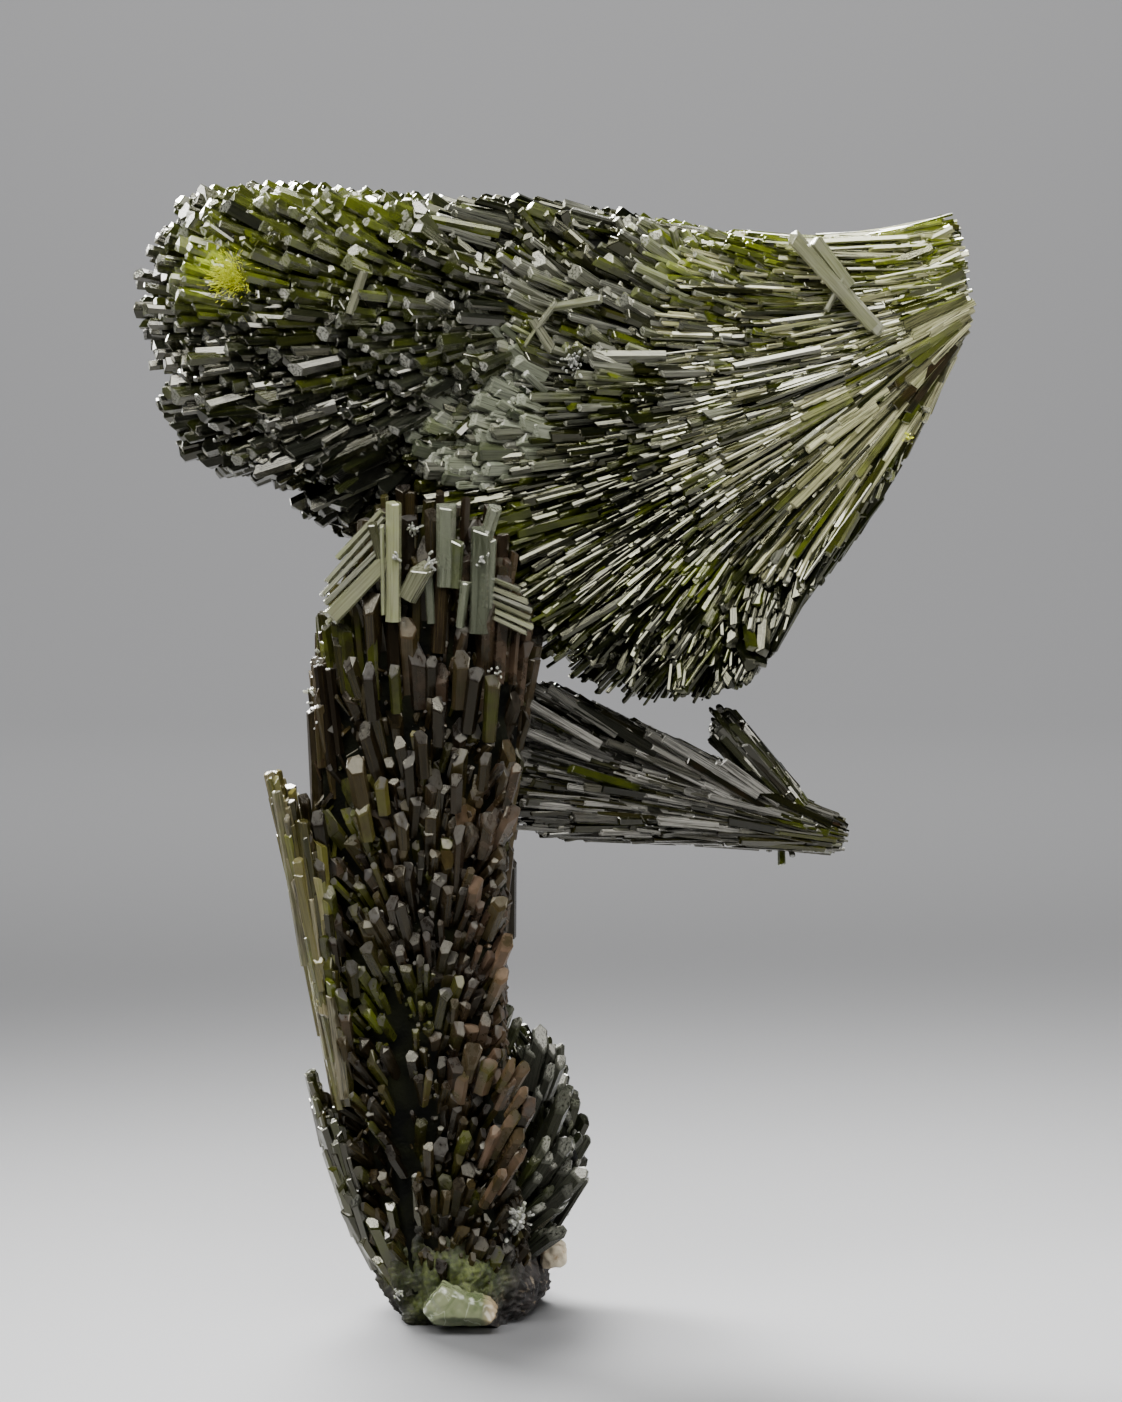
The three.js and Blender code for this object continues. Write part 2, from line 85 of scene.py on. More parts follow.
blade = {
    "guides": [
        [(-14, 21), (-17.2, 39), (-21.2, 57.6)], [(-13.4, 21), (-15.8, 37), (-18.8, 54.8)],
        [(-12.4, 22), (-13.8, 36), (-15.4, 51)],
    ],
    "middle": (-4, -5.6, -7), "half": (4.6, 5.4, 3.6), "rounding": 0.05,
}
shingles = {
    "guides": [
        [(-9.4, 4.2), (-15.4, 13), (-17.3, 26.6)], [(-9.2, 4.4), (-14, 13), (-15.8, 24)],
        [(-8.6, 5), (-12.4, 13), (-13.6, 21)],
    ],
    "middle": (-2, -3, -4), "half": (4, 4.5, 3.2), "rounding": 0.1,
}
lobe = {
    "guides": [
        [(0, 4), (1.4, 17.5), (3.6, 30.6)], [(1.5, 3.6), (5.4, 16.6), (8.2, 26.6)],
        [(2, 3.2), (6.5, 13.4), (9.4, 20.8)], [(2.5, 3), (7, 10.2), (11, 15.4)], [(3, 2.6), (7, 7), (9.2, 9.5)],
    ],
    "middle": (3, 5.4, 6), "half": (5, 7, 7), "rounding": 0.1,
}
arm = {
    "guides": [
        [(35.6, 50.4), (22, 57), (5, 64.6)], [(35.6, 49.3), (20, 54.8), (2, 59.8)],
        [(35.5, 48.3), (20, 51.8), (2, 54.8)], [(35.3, 47.3), (22, 49), (2, 50.8)],
        [(34.5, 46.6), (22, 47.8), (7, 48.2)],
    ],
    "middle": (2, 2, 1), "half": (1.8, 3.6, 5), "rounding": 0,
}
spur = {
    "guides": [
        [(33.4, 50.6), (29.8, 56), (25.2, 61)], [(32.8, 50.2), (28.6, 55), (22.8, 62)],
        [(31, 50.2), (26.4, 54.4), (22.4, 58.6)],
    ],
    "middle": (1.6, 1.4, 1.4), "half": (1, 1.3, 1.5), "rounding": 0.1,
}


def unit(v):             # each vector over its own length
    return v / np.maximum(np.linalg.norm(v, axis=-1, keepdims=True), 1e-9)


def splineAt(points, across):
    # the cubic through evenly spaced points, with the slope at each half the step between its neighbours
    last = len(points) - 1
    place = np.clip(across, 0, 1) * last
    i = np.minimum(place.astype(int), last - 1)
    w = (place - i)[..., None]
    p0, p1, p2, p3 = (points[np.clip(i + k, 0, last)] for k in (-1, 0, 1, 2))
    v0, v1 = (p2 - p0) / 2, (p3 - p1) / 2
    return (2 * p1 - 2 * p2 + v0 + v1) * w ** 3 + (3 * p2 - 3 * p1 - 2 * v0 - v1) * w ** 2 + v0 * w + p1


def strandPoint(spray, angle, share, along):
    # across = (1 - share cos angle) / 2 picks the strand, depth = share sin angle, blunted, puts it to front or back,
    # and the point is (1 - s)^2 root + 2 s (1 - s) bend + s^2 tip
    angle, share, along = np.broadcast_arrays(*(np.asarray(v, float) for v in (angle, share, along)))
    guides = np.array(spray["guides"], float)
    across = 0.5 - 0.5 * share * np.cos(angle)
    depth = share * np.sign(np.sin(angle)) * np.abs(np.sin(angle)) ** blunt
    flat = [splineAt(guides[:, part], across) for part in range(3)]
    root, bend, tip = (
        np.stack([flat[k][..., 0], spray["middle"][k] + spray["half"][k] * depth, flat[k][..., 1]], -1)
        for k in range(3))
    s = along[..., None]
    return (1 - s) ** 2 * root + 2 * s * (1 - s) * bend + s ** 2 * tip


def strandLength(spray, angle, share):
    # half of the round trip root, bend, tip, root: close to the curve's own length
    root, tip = (strandPoint(spray, angle, share, end) for end in (0, 1))
    bend = 2 * strandPoint(spray, angle, share, 0.5) - (root + tip) / 2
    trip = [np.linalg.norm(a - b, axis=-1) for a, b in ((root, bend), (bend, tip), (tip, root))]
    return sum(trip) / 2


def skinCross(spray, angle, along, step):
    # the cross product of the skin's two tangents, each taken over twice the step
    around = strandPoint(spray, angle + step, 1, along) - strandPoint(spray, angle - step, 1, along)
    forward = strandPoint(spray, angle, 1, along + step) - strandPoint(spray, angle, 1, along - step)
    return np.cross(around, forward)


def outwardAt(spray, angle, along):
    # the skin's own direction outwards: square to its tangents, and turned away from the sheaf's middle
    out = skinCross(spray, angle, along, 0.02)
    away = strandPoint(spray, angle, 1, along) - strandPoint(spray, angle, 0, along)
    return unit(out * np.sign((out * away).sum(-1, keepdims=True)))


def rumple(points, size, seed, waves=18):
    # the sum of random plane waves cos(k.p + phase), each about size long, scaled to about -1 to 1
    random = np.random.default_rng(seed)
    k = unit(random.normal(size=(waves, 3))) * (2 * math.pi / size) * random.uniform(0.6, 1.5, (waves, 1))
    return np.cos(points @ k.T + random.uniform(0, 2 * math.pi, waves)).sum(-1) / math.sqrt(waves)


def evenPairs(count, offset):
    # the low-discrepancy sequence n (0.7549, 0.5698) mod 1, which leaves no clumps or holes
    n = np.arange(count) + offset
    return (0.5 + n * 0.7548776662) % 1, (0.5 + n * 0.5698402910) % 1


def spreadOnSkin(spray, count, along, offset):
    # even pairs carried through the running sums of the surface's area, first along the strands, then around
    rows, columns = 48, 240
    s = along[0] + (along[1] - along[0]) * (np.arange(rows) + 0.5)[:, None] / rows
    a = 2 * math.pi * (np.arange(columns) + 0.5)[None, :] / columns
    area = np.linalg.norm(skinCross(spray, a, s, 0.01), axis=-1)
    u, v = evenPairs(count, offset)
    rowSum = np.concatenate([[0], np.cumsum(area.sum(1))])
    place = np.interp(u, rowSum / rowSum[-1], np.arange(rows + 1))
    row = np.minimum(place.astype(int), rows - 1)
    running = np.cumsum(area, 1)
    running = running / running[:, -1:]
    cell = np.searchsorted((running + np.arange(rows)[:, None]).ravel(), row + v) - row * columns
    cell = np.clip(cell, 0, columns - 1)
    before = np.where(cell > 0, running[row, np.maximum(cell - 1, 0)], 0)
    part = (v - before) / np.maximum(running[row, cell] - before, 1e-9)
    return 2 * math.pi * (cell + part) / columns, along[0] + (along[1] - along[0]) * place / rows


def spreadOnEnd(spray, count, reach, offset):
    # even pairs on the disc of shares, with more where the guides' tips are further apart
    u, v = evenPairs(count, offset)
    line = np.linspace(-1, 1, 201)
    tips = strandPoint(spray, np.where(line < 0, math.pi, 0), np.abs(line), 1)
    step = np.linalg.norm(np.diff(tips, axis=0), axis=1)
    running = np.concatenate([[0], np.cumsum(step * np.sqrt(1 - ((line[1:] + line[:-1]) / 2) ** 2))])
    px = np.interp(u, running / running[-1], line)
    py = (2 * v - 1) * np.sqrt(1 - px ** 2)
    return np.arctan2(py, px), np.hypot(px, py) * reach


def near(points, spot, size):
    # 1 at the spot, falling to nothing at a few sizes from it, as exp(-r^2 / size^2), seen from the front
    r = (points[:, 0] - spot[0]) ** 2 + (points[:, 2] - spot[1]) ** 2
    return np.exp(-r / size ** 2)


def joinSets(sets):
    return {key: np.concatenate([part[key] for part in sets]) for key in sets[0]}


def chosen(crystals, keep):
    return {key: value[keep] for key, value in crystals.items()}


def insideOnly(crystals, floor=3.2, back=13.4):
    # leaves out crystals that would reach under the foot or past the back
    foot = crystals["tip"] - crystals["axis"] * crystals["length"][:, None]
    inside = (np.minimum(foot[:, 2], crystals["tip"][:, 2]) > floor) & (crystals["tip"][:, 1] < back)
    return chosen(crystals, inside)


# What a layer of crystals has where its table doesn't say. share is how far a tip is from the sheaf's middle, lift
# the foot's share over the tip's, and flat the thickness over the width. wild, turn and facing are chance in the
# direction, the spin and the end. lean is outwards, and roll turns crystals one way on the front and the other way on
# the back. steep and gentle are the slopes of the end's two faces, and ridge is where they meet.
usualLayer = {
    "share": (0, 0.98), "flat": (0.6, 1), "lift": 0.95, "wild": 0.03, "turn": 0.25, "lean": 0, "roll": 0, "start": 0,
    "steep": (0.4, 1), "gentle": (0.2, 0.7), "ridge": (-0.5, 0.3), "facing": 0.5,
}


def crystalSet(random, ends, tip, axis, out, length, width, thick, spin):
    # the numbers of some crystals, with the slopes, ridge and facing of their ends drawn by chance
    made = {"tip": tip, "axis": axis, "out": out, "length": length, "width": width, "thick": thick, "spin": spin}
    for key in ("steep", "gentle", "ridge"):
        made[key] = random.uniform(*ends[key], len(tip))
    made["facing"] = random.normal(0, ends["facing"], len(tip))
    return made


def crystalsAlong(spray, layer, seed):
    # crystals whose axes follow the strands: on the skin if the layer has "along", at the broken root if it has
    # "over", and at the end otherwise
    random = np.random.default_rng(seed)
    layer = {**usualLayer, **layer}
    count, atRoot = layer["count"], "over" in layer
    if "along" in layer:
        angle, tipAt = spreadOnSkin(spray, count, layer["along"], seed)
        share = random.uniform(*layer["share"], count)
    else:
        angle, share = spreadOnEnd(spray, count, layer["share"][1], seed)
        rough = layer["rough"] * random.random(count)
        if "ragged" in layer:
            size, amount = layer["ragged"]
            clumps = rumple(strandPoint(spray, angle, share, 0 if atRoot else 1), size, seed + 2)
            rough = rough + amount * np.clip(clumps, -0.3, 1.5)
        shorter = spray["rounding"] * share ** 2 * np.abs(np.sin(angle))
        tipAt = rough - layer["over"] * random.random(count) ** 2 if atRoot else 1 - shorter - rough
    if "swell" in layer:
        size, depth = layer["swell"]
        bumps = rumple(strandPoint(spray, angle, 1, tipAt), size, seed + 1)
        share = share * (1 + depth * np.clip(bumps, -1.5, 0.8))
    lowW, highW, power = layer["width"]
    width = lowW + (highW - lowW) * random.random(count) ** power
    thick = width * random.uniform(*layer["flat"], count)
    length = random.uniform(*layer["length"], count)
    tip = strandPoint(spray, angle, share, tipAt)
    if "slim" in layer:      # narrower and longer round a spot: x, z, size and gain
        x, z, size, gain = layer["slim"]
        close = gain * near(tip, (x, z), size)
        width, thick, length = width * (1 - close), thick * (1 - close), length * (1 + close)
    footAt = tipAt - (-1 if atRoot else 1) * length / strandLength(spray, angle, share)
    footAt = np.clip(footAt, layer["start"] * random.random(count), 1)
    foot = strandPoint(spray, angle, share * layer["lift"], footAt)
    axis = unit(unit(tip - foot) + layer["wild"] * random.normal(size=(count, 3)))
    if "splay" in layer:     # leans sideways by the distance from an upright line, at most so much
        x, wide, most = layer["splay"]
        axis = unit(axis + np.clip((tip[:, :1] - x) / wide, -1, 1) * most * np.array([1, 0, 0]))
    out = outwardAt(spray, angle, np.clip(tipAt, 0.05, 0.95))
    axis = unit(axis + layer["lean"] * out)
    length = np.minimum(length, np.linalg.norm(tip - foot, axis=1) + 1.5)
    spin = random.normal(0, layer["turn"], count) + layer["roll"] * out[:, 1]
    made = crystalSet(random, layer, tip, axis, out, length, width, thick, spin)
    keep = np.ones(count, bool)
    if "only" in layer:      # an ellipse seen from the front: x, z, and its two half widths
        x, z, wide, high = layer["only"]
        keep = ((tip[:, 0] - x) / wide) ** 2 + ((tip[:, 2] - z) / high) ** 2 < random.uniform(0.6, 1.2, count)
    if "valley" in layer:    # leaves a slot open in front: x, half width, and the heights that it joins
        x, wide, low, high = layer["valley"]
        inside = (np.abs(tip[:, 0] - x + 0.03 * (tip[:, 2] - low)) < wide) & (tip[:, 2] > low) & (tip[:, 2] < high)
        keep = keep & ~(inside & (tip[:, 1] < 0))
    return chosen(made, keep)


def sectionOf(crystals, random):
    # six corners (out, side): two wide faces a thickness apart, and on each side two narrow ones that meet at an edge
    t, w = crystals["thick"] / 2, crystals["width"] / 2
    right, left = (random.uniform(-0.5, 0.5, len(t)) * t for _ in range(2))
    slant = np.minimum(sideCut, 0.9 * w / t / 2)
    corners = [
        (t, w - slant * (t - right)), (right, w), (-t, w - slant * (t + right)),
        (-t, slant * (t + left) - w), (left, -w), (t, slant * (t - left) - w),
    ]
    return np.stack([np.stack(pair, -1) for pair in corners], 1)


def meshOf(name, points, quads, triangles, uvs=None, values=None, smooth=False):
    # points in millimetres; quads first, then triangles; uvs has a pair for each face corner in that order
    mesh = bpy.data.meshes.new(name)
    mesh.vertices.add(len(points))
    mesh.vertices.foreach_set("co", (np.asarray(points) * mm).astype(np.float32).ravel())
    corners = np.concatenate([np.asarray(quads).ravel(), np.asarray(triangles).ravel()]).astype(np.int32)
    sizes = np.concatenate([np.full(len(quads), 4), np.full(len(triangles), 3)]).astype(np.int32)
    mesh.loops.add(len(corners))
    mesh.loops.foreach_set("vertex_index", corners)
    mesh.polygons.add(len(sizes))
    mesh.polygons.foreach_set("loop_start", np.concatenate([[0], np.cumsum(sizes)[:-1]]).astype(np.int32))
    mesh.polygons.foreach_set("loop_total", sizes)
    mesh.polygons.foreach_set("use_smooth", np.full(len(sizes), smooth))
    if uvs is not None:
        layer = mesh.uv_layers.new(name="faceMap")
        layer.uv.foreach_set("vector", np.asarray(uvs, np.float32).ravel())
    for key, value in (values or {}).items():
        attribute = mesh.attributes.new(key, "FLOAT", "POINT")
        attribute.data.foreach_set("value", np.asarray(value, np.float32).ravel())
    mesh.update(calc_edges=True)
    mesh.validate()
    thing = bpy.data.objects.new(name, mesh)
    bpy.context.scene.collection.objects.link(thing)
    return thing


def crystalPiece(name, crystals, traits, seed, bevel):
    # rings: base, shoulder and rim of six points and a top point. height = length - steep d ahead of the ridge and
    # length - gentle |d| behind it, where d is the distance from the ridge towards the outward side
    random = np.random.default_rng(seed)
    count = len(crystals["length"])
    section = sectionOf(crystals, random)
    out = unit(crystals["out"] - (crystals["out"] * crystals["axis"]).sum(-1, keepdims=True) * crystals["axis"])
    side = np.cross(crystals["axis"], out)
    turn = crystals["spin"][:, None]
    out, side = np.cos(turn) * out + np.sin(turn) * side, np.cos(turn) * side - np.sin(turn) * out
    look = np.stack([np.cos(crystals["facing"]), np.sin(crystals["facing"])], -1)
    ridge = crystals["ridge"] * crystals["thick"]

    def fall(corners):
        d = (corners * look[:, None]).sum(-1) - ridge[:, None]
        return np.where(d > 0, crystals["steep"][:, None] * d, -crystals["gentle"][:, None] * d)

    inset = 1 - np.minimum(bevel / (crystals["thick"] / 2), mostInset)[:, None, None]
    taper = random.uniform(leastBase, 1, (count, 1, 1))
    rim, top = section * inset, (look * ridge[:, None])[:, None]
    length = crystals["length"][:, None]
    flat = np.concatenate([section * taper, section, rim, top], 1)
    height = np.concatenate([
        np.zeros((count, 6)), length - fall(section) - bevel, length - fall(rim), length], 1)
    base = crystals["tip"] - crystals["axis"] * length
    points = (base[:, None] + flat[..., :1] * out[:, None] + flat[..., 1:] * side[:, None]
              + height[..., None] * crystals["axis"][:, None])
    here, after = np.arange(6), (np.arange(6) + 1) % 6
    quadPattern = np.concatenate([
        np.stack([here, after, after + 6, here + 6], -1), np.stack([here + 6, after + 6, after + 12, here + 12], -1),
        [[3, 2, 1, 0], [5, 4, 3, 0]]])
    trianglePattern = np.stack([here + 12, after + 12, np.full(6, 18)], -1)
    first = pointsEach * np.arange(count)[:, None, None]
    quads, triangles = (first + quadPattern).reshape(-1, 4), (first + trianglePattern).reshape(-1, 3)
    # the face map: millimetres round the section and along the axis on the sides, and across the section elsewhere
    step = np.linalg.norm(np.roll(section, -1, 1) - section, axis=-1)
    girth = np.concatenate([np.zeros((count, 1)), np.cumsum(step, 1)], 1)
    u = np.stack([girth[:, here], girth[:, here + 1], girth[:, here + 1], girth[:, here]], -1)
    v = np.stack([height[:, here], height[:, after], height[:, after + 6], height[:, here + 6]], -1)
    sideMap = np.stack([u, v], -1)
    capMap = flat[:, quadPattern[6:]]
    tipMap = flat[:, trianglePattern]
    shift = random.uniform(0, mapShift, (count, 1, 1, 2))
    quadMap = np.concatenate([sideMap, capMap], 1) + shift
    uvs = np.concatenate([quadMap.reshape(-1, 2), (tipMap + shift).reshape(-1, 2)])
    values = {key: np.repeat(value, pointsEach) for key, value in traits.items()}
    values["end"] = np.tile(np.array([0] * 12 + [1] * 7), count)
    return meshOf(name, points.reshape(-1, 3), quads, triangles, uvs, values)


def traitsOf(crystals, look, seed):
    # tone, painted glow, rust, and the film of dust and painted sheen of each crystal: a base, chance, slow waves
    # through the cluster, and patches given by x, z, size and gain. The glow is painted light shining through, and
    # painted glints
    random = np.random.default_rng(seed)
    tips = crystals["tip"] - crystals["axis"] * np.minimum(crystals["length"], 3)[:, None]
    traits = {}
    for number, key in enumerate(("tone", "paintedGlow", "rust", "frost")):
        base, chance, slow = look.get(key, (0, 0, 0))
        value = base + chance * random.normal(size=len(tips)) + slow * rumple(tips, traitWaves, seed + number)
        for x, z, size, gain in look.get(key + "At", ()):    # patches fade towards the back
            value += gain * near(tips, (x, z), size) * np.clip(1 - (tips[:, 1] - fadeFrom) / fadeOver, 0.1, 1)
        if key == "frost":   # less of the film towards the back
            value = value - lessDustAndSheen * np.clip(tips[:, 1] / lessOver, 0, 1)
        traits[key] = np.clip(value, 0, 1)
    return traits


def faceOut(piece):      # turns a closed shape's faces outwards if its signed volume is negative
    mesh = piece.data
    mesh.calc_loop_triangles()
    corners = np.empty(len(mesh.loop_triangles) * 3, np.int32)
    mesh.loop_triangles.foreach_get("vertices", corners)
    co = np.empty(len(mesh.vertices) * 3, np.float32)
    mesh.vertices.foreach_get("co", co)
    a, b, c = co.reshape(-1, 3)[corners.reshape(-1, 3)].transpose(1, 0, 2)
    if np.einsum("ij,ij->i", a, np.cross(b, c)).sum() < 0:
        mesh.flip_normals()


def gridQuads(rows, columns, closed=True):
    r, c = np.meshgrid(np.arange(rows - 1), np.arange(columns if closed else columns - 1), indexing="ij")
    n = (c + 1) % columns
    quads = np.stack([r * columns + c, r * columns + n, (r + 1) * columns + n, (r + 1) * columns + c], -1)
    return quads.reshape(-1, 4)


def withPoles(points):   # a grid's points in one list, then the middles of its first and last row
    return np.concatenate([points.reshape(-1, 3), [points[0].mean(0)], [points[-1].mean(0)]])


def gridPiece(name, points, values=None):
    # a sheet of rows by columns, closed round its columns, with a pole at the middle of its first and last row
    rows, columns = points.shape[:2]
    here, last = np.arange(columns), (rows - 1) * columns
    after = (here + 1) % columns
    start = np.stack([after, here, np.full(columns, rows * columns)], -1)
    end = np.stack([last + here, last + after, np.full(columns, rows * columns + 1)], -1)
    triangles = np.concatenate([start, end])
    piece = meshOf(name, withPoles(points), gridQuads(rows, columns), triangles, values=values, smooth=True)
    faceOut(piece)
    return piece


# Shader groups
materials = {}


def rgb(*parts):
    return (*parts, 1)


def feed(tree, socket, value):                 # sets a socket, or links it where the value is a socket
    if isinstance(value, bpy.types.NodeSocket):
        tree.links.new(value, socket)
    else:
        socket.default_value = value


def addNode(tree, kind, settings=None, **inputs):
    # a node with its settings and inputs: i3 stands for the fourth input, and a name's underscores for spaces
    made = tree.nodes.new("ShaderNode" + kind)
    for key, value in (settings or {}).items():
        setattr(made, key, value)
    for key, value in inputs.items():
        feed(tree, made.inputs[int(key[1:]) if key[1:].isdigit() else key.replace("_", " ")], value)
    return made


def blend(tree, factor, a, b):                 # a colour mix, a where the factor is 0 and b where it is 1
    a, b = (rgb(*color) if isinstance(color, tuple) else color for color in (a, b))
    return addNode(tree, "Mix", {"data_type": "RGBA", "clamp_factor": True}, i0=factor, i6=a, i7=b).outputs[2]


def mixed(tree, factor, a, b):                 # the same for plain values
    return addNode(tree, "Mix", i0=factor, i2=a, i3=b).outputs[0]


def sums(tree, way, *values):                  # a math node on values or sockets
    return addNode(tree, "Math", {"operation": way}, **{f"i{n}": value for n, value in enumerate(values)}).outputs[0]


def trait(tree, name):                         # a value that the mesh holds for each crystal
    return addNode(tree, "Attribute", {"attribute_name": name}).outputs["Fac"]


def spanOf(tree, value, low, high):            # 0 at low, 1 at high, held there beyond
    return addNode(tree, "MapRange", {"clamp": True}, Value=value, From_Min=low, From_Max=high).outputs[0]


def noiseOf(tree, place, scale, detail, settings=None, **more):
    return addNode(tree, "TexNoise", settings, Vector=place, Scale=scale, Detail=detail, **more).outputs["Fac"]


def objectPlace(tree):
    return addNode(tree, "TexCoord").outputs["Object"]


def drawnOut(tree, place, scales):             # the place with each part times its scale
    apart = addNode(tree, "SeparateXYZ", Vector=place).outputs
    parts = [apart[n] if scale == 1 else sums(tree, "MULTIPLY", apart[n], scale) for n, scale in enumerate(scales)]
    return addNode(tree, "CombineXYZ", **dict(zip("XYZ", parts))).outputs[0]


def newGroup(name, given, results):
    # an input is given with its usual value, or None for a colour, and an output with its kind
    group = bpy.data.node_groups.new(name, "ShaderNodeTree")
    for socket, value in given.items():
        kind = "NodeSocketColor" if value is None else "NodeSocketFloat"
        made = group.interface.new_socket(name=socket, in_out="INPUT", socket_type=kind)
        if value is not None:
            made.default_value = value
    for socket, kind in results.items():
        group.interface.new_socket(name=socket, in_out="OUTPUT", socket_type="NodeSocket" + kind)
    return group, group.nodes.new("NodeGroupInput").outputs, group.nodes.new("NodeGroupOutput").inputs


def growthGroup():
    # lines along each face from noise drawn out lengthwise, and pits on the end faces
    group, given, result = newGroup("crystalGrowth", {"Lines": 9, "Pits": 4}, {"Height": "Float"})
    place = addNode(group, "UVMap", {"uv_map": "faceMap"}).outputs[0]
    flat = {"noise_dimensions": "2D"}
    lines = noiseOf(group, drawnOut(group, place, (1, 0.035)), given["Lines"], 3, flat, Roughness=0.7)
    pits = noiseOf(group, place, given["Pits"], 4, flat, Roughness=0.65)
    feed(group, result["Height"], mixed(group, trait(group, "end"), lines, pits))
    return group


def tintGroup():
    # dark to olive by tone and streaks, then yellow by the painted glow (painted light shining through, and painted
    # glints), brown by rust, and pale by the film of dust and painted sheen, most on the end faces.
    # The coat is End Coat on the end faces and Side Coat on the sides
    group, given, result = newGroup("crystalTint", {
        "Dark": None, "Olive": None, "Yellow": None, "Rust": None, "Frost": None, "Streak": 0.5, "Gloss": 0.16,
        "Side Coat": 0.5, "End Coat": 1, "Side Frost": 0.25},
        {"Color": "Color", "Roughness": "Float", "Coat": "Float"})
    cloud = noiseOf(group, objectPlace(group), 420, 4, Roughness=0.6)
    end = trait(group, "end")
    uneven = sums(group, "MULTIPLY_ADD", spanOf(group, given["Streak"], 0.35, 0.7), 0.5, -0.25)
    color = blend(group, sums(group, "ADD", trait(group, "tone"), uneven), given["Dark"], given["Olive"])
    # painted light: the yellow of the painted glow where the cloud noise is high
    bright = sums(group, "MULTIPLY", trait(group, "paintedGlow"), spanOf(group, cloud, 0.3, 0.62))
    color = blend(group, bright, color, given["Yellow"])
    rusty = sums(group, "MULTIPLY", spanOf(group, cloud, 0.62, 0.38), trait(group, "rust"))
    color = blend(group, rusty, color, given["Rust"])
    # the pale film: dust and frost, and also painted silvery sheen on the sides of the laths
    dustSheenFilm = sums(group, "MULTIPLY", trait(group, "frost"), mixed(group, end, given["Side Frost"], 1))
    dustSheenFilm = sums(group, "MULTIPLY", dustSheenFilm, spanOf(group, given["Streak"], 0.28, 0.56))
    feed(group, result["Color"], blend(group, dustSheenFilm, color, given["Frost"]))
    dull = sums(group, "MULTIPLY_ADD", sums(group, "MAXIMUM", dustSheenFilm, rusty), 0.3, given["Gloss"])
    feed(group, result["Roughness"], dull)
    feed(group, result["Coat"], mixed(group, end, given["Side Coat"], given["End Coat"]))
    return group


growth, tint = growthGroup(), tintGroup()


def newMaterial(name):
    materials[name] = material = bpy.data.materials.new(name)
    material.use_nodes = True
    return material.node_tree, material.node_tree.nodes["Principled BSDF"]


def dress(tree, shader, color, height, strength, depth, **inputs):
    # the colour, a bump of this strength and depth in metres, and the shader's other inputs by name
    bump = addNode(tree, "Bump", Height=height, Strength=strength, Distance=depth).outputs[0]
    for key, value in {"Base_Color": color, "Normal": bump, **inputs}.items():
        feed(tree, shader.inputs[key.replace("_", " ")], value)


def crystalMaterial(name, look):
    tree, shader = newMaterial(name)
    height = addNode(tree, "Group", {"node_tree": growth}, Lines=look["lines"], Pits=look["pits"]).outputs[0]
    colours = {key.capitalize(): rgb(*look[key]) for key in ("dark", "olive", "yellow", "rust", "frost")}
    tinted = addNode(tree, "Group", {"node_tree": tint}, Streak=height, Gloss=look["gloss"],
                     Side_Coat=look["sideCoat"], End_Coat=look["endCoat"], Side_Frost=look["sideFrost"],
                     **colours).outputs
    dress(tree, shader, tinted["Color"], height, look["relief"], 0.00012, Roughness=tinted["Roughness"],
          Coat_Weight=tinted["Coat"], Coat_IOR=1.9, Coat_Roughness=0.06, IOR=look["ior"],
          Transmission_Weight=look["clear"], Specular_Tint=rgb(*look["sheen"]))
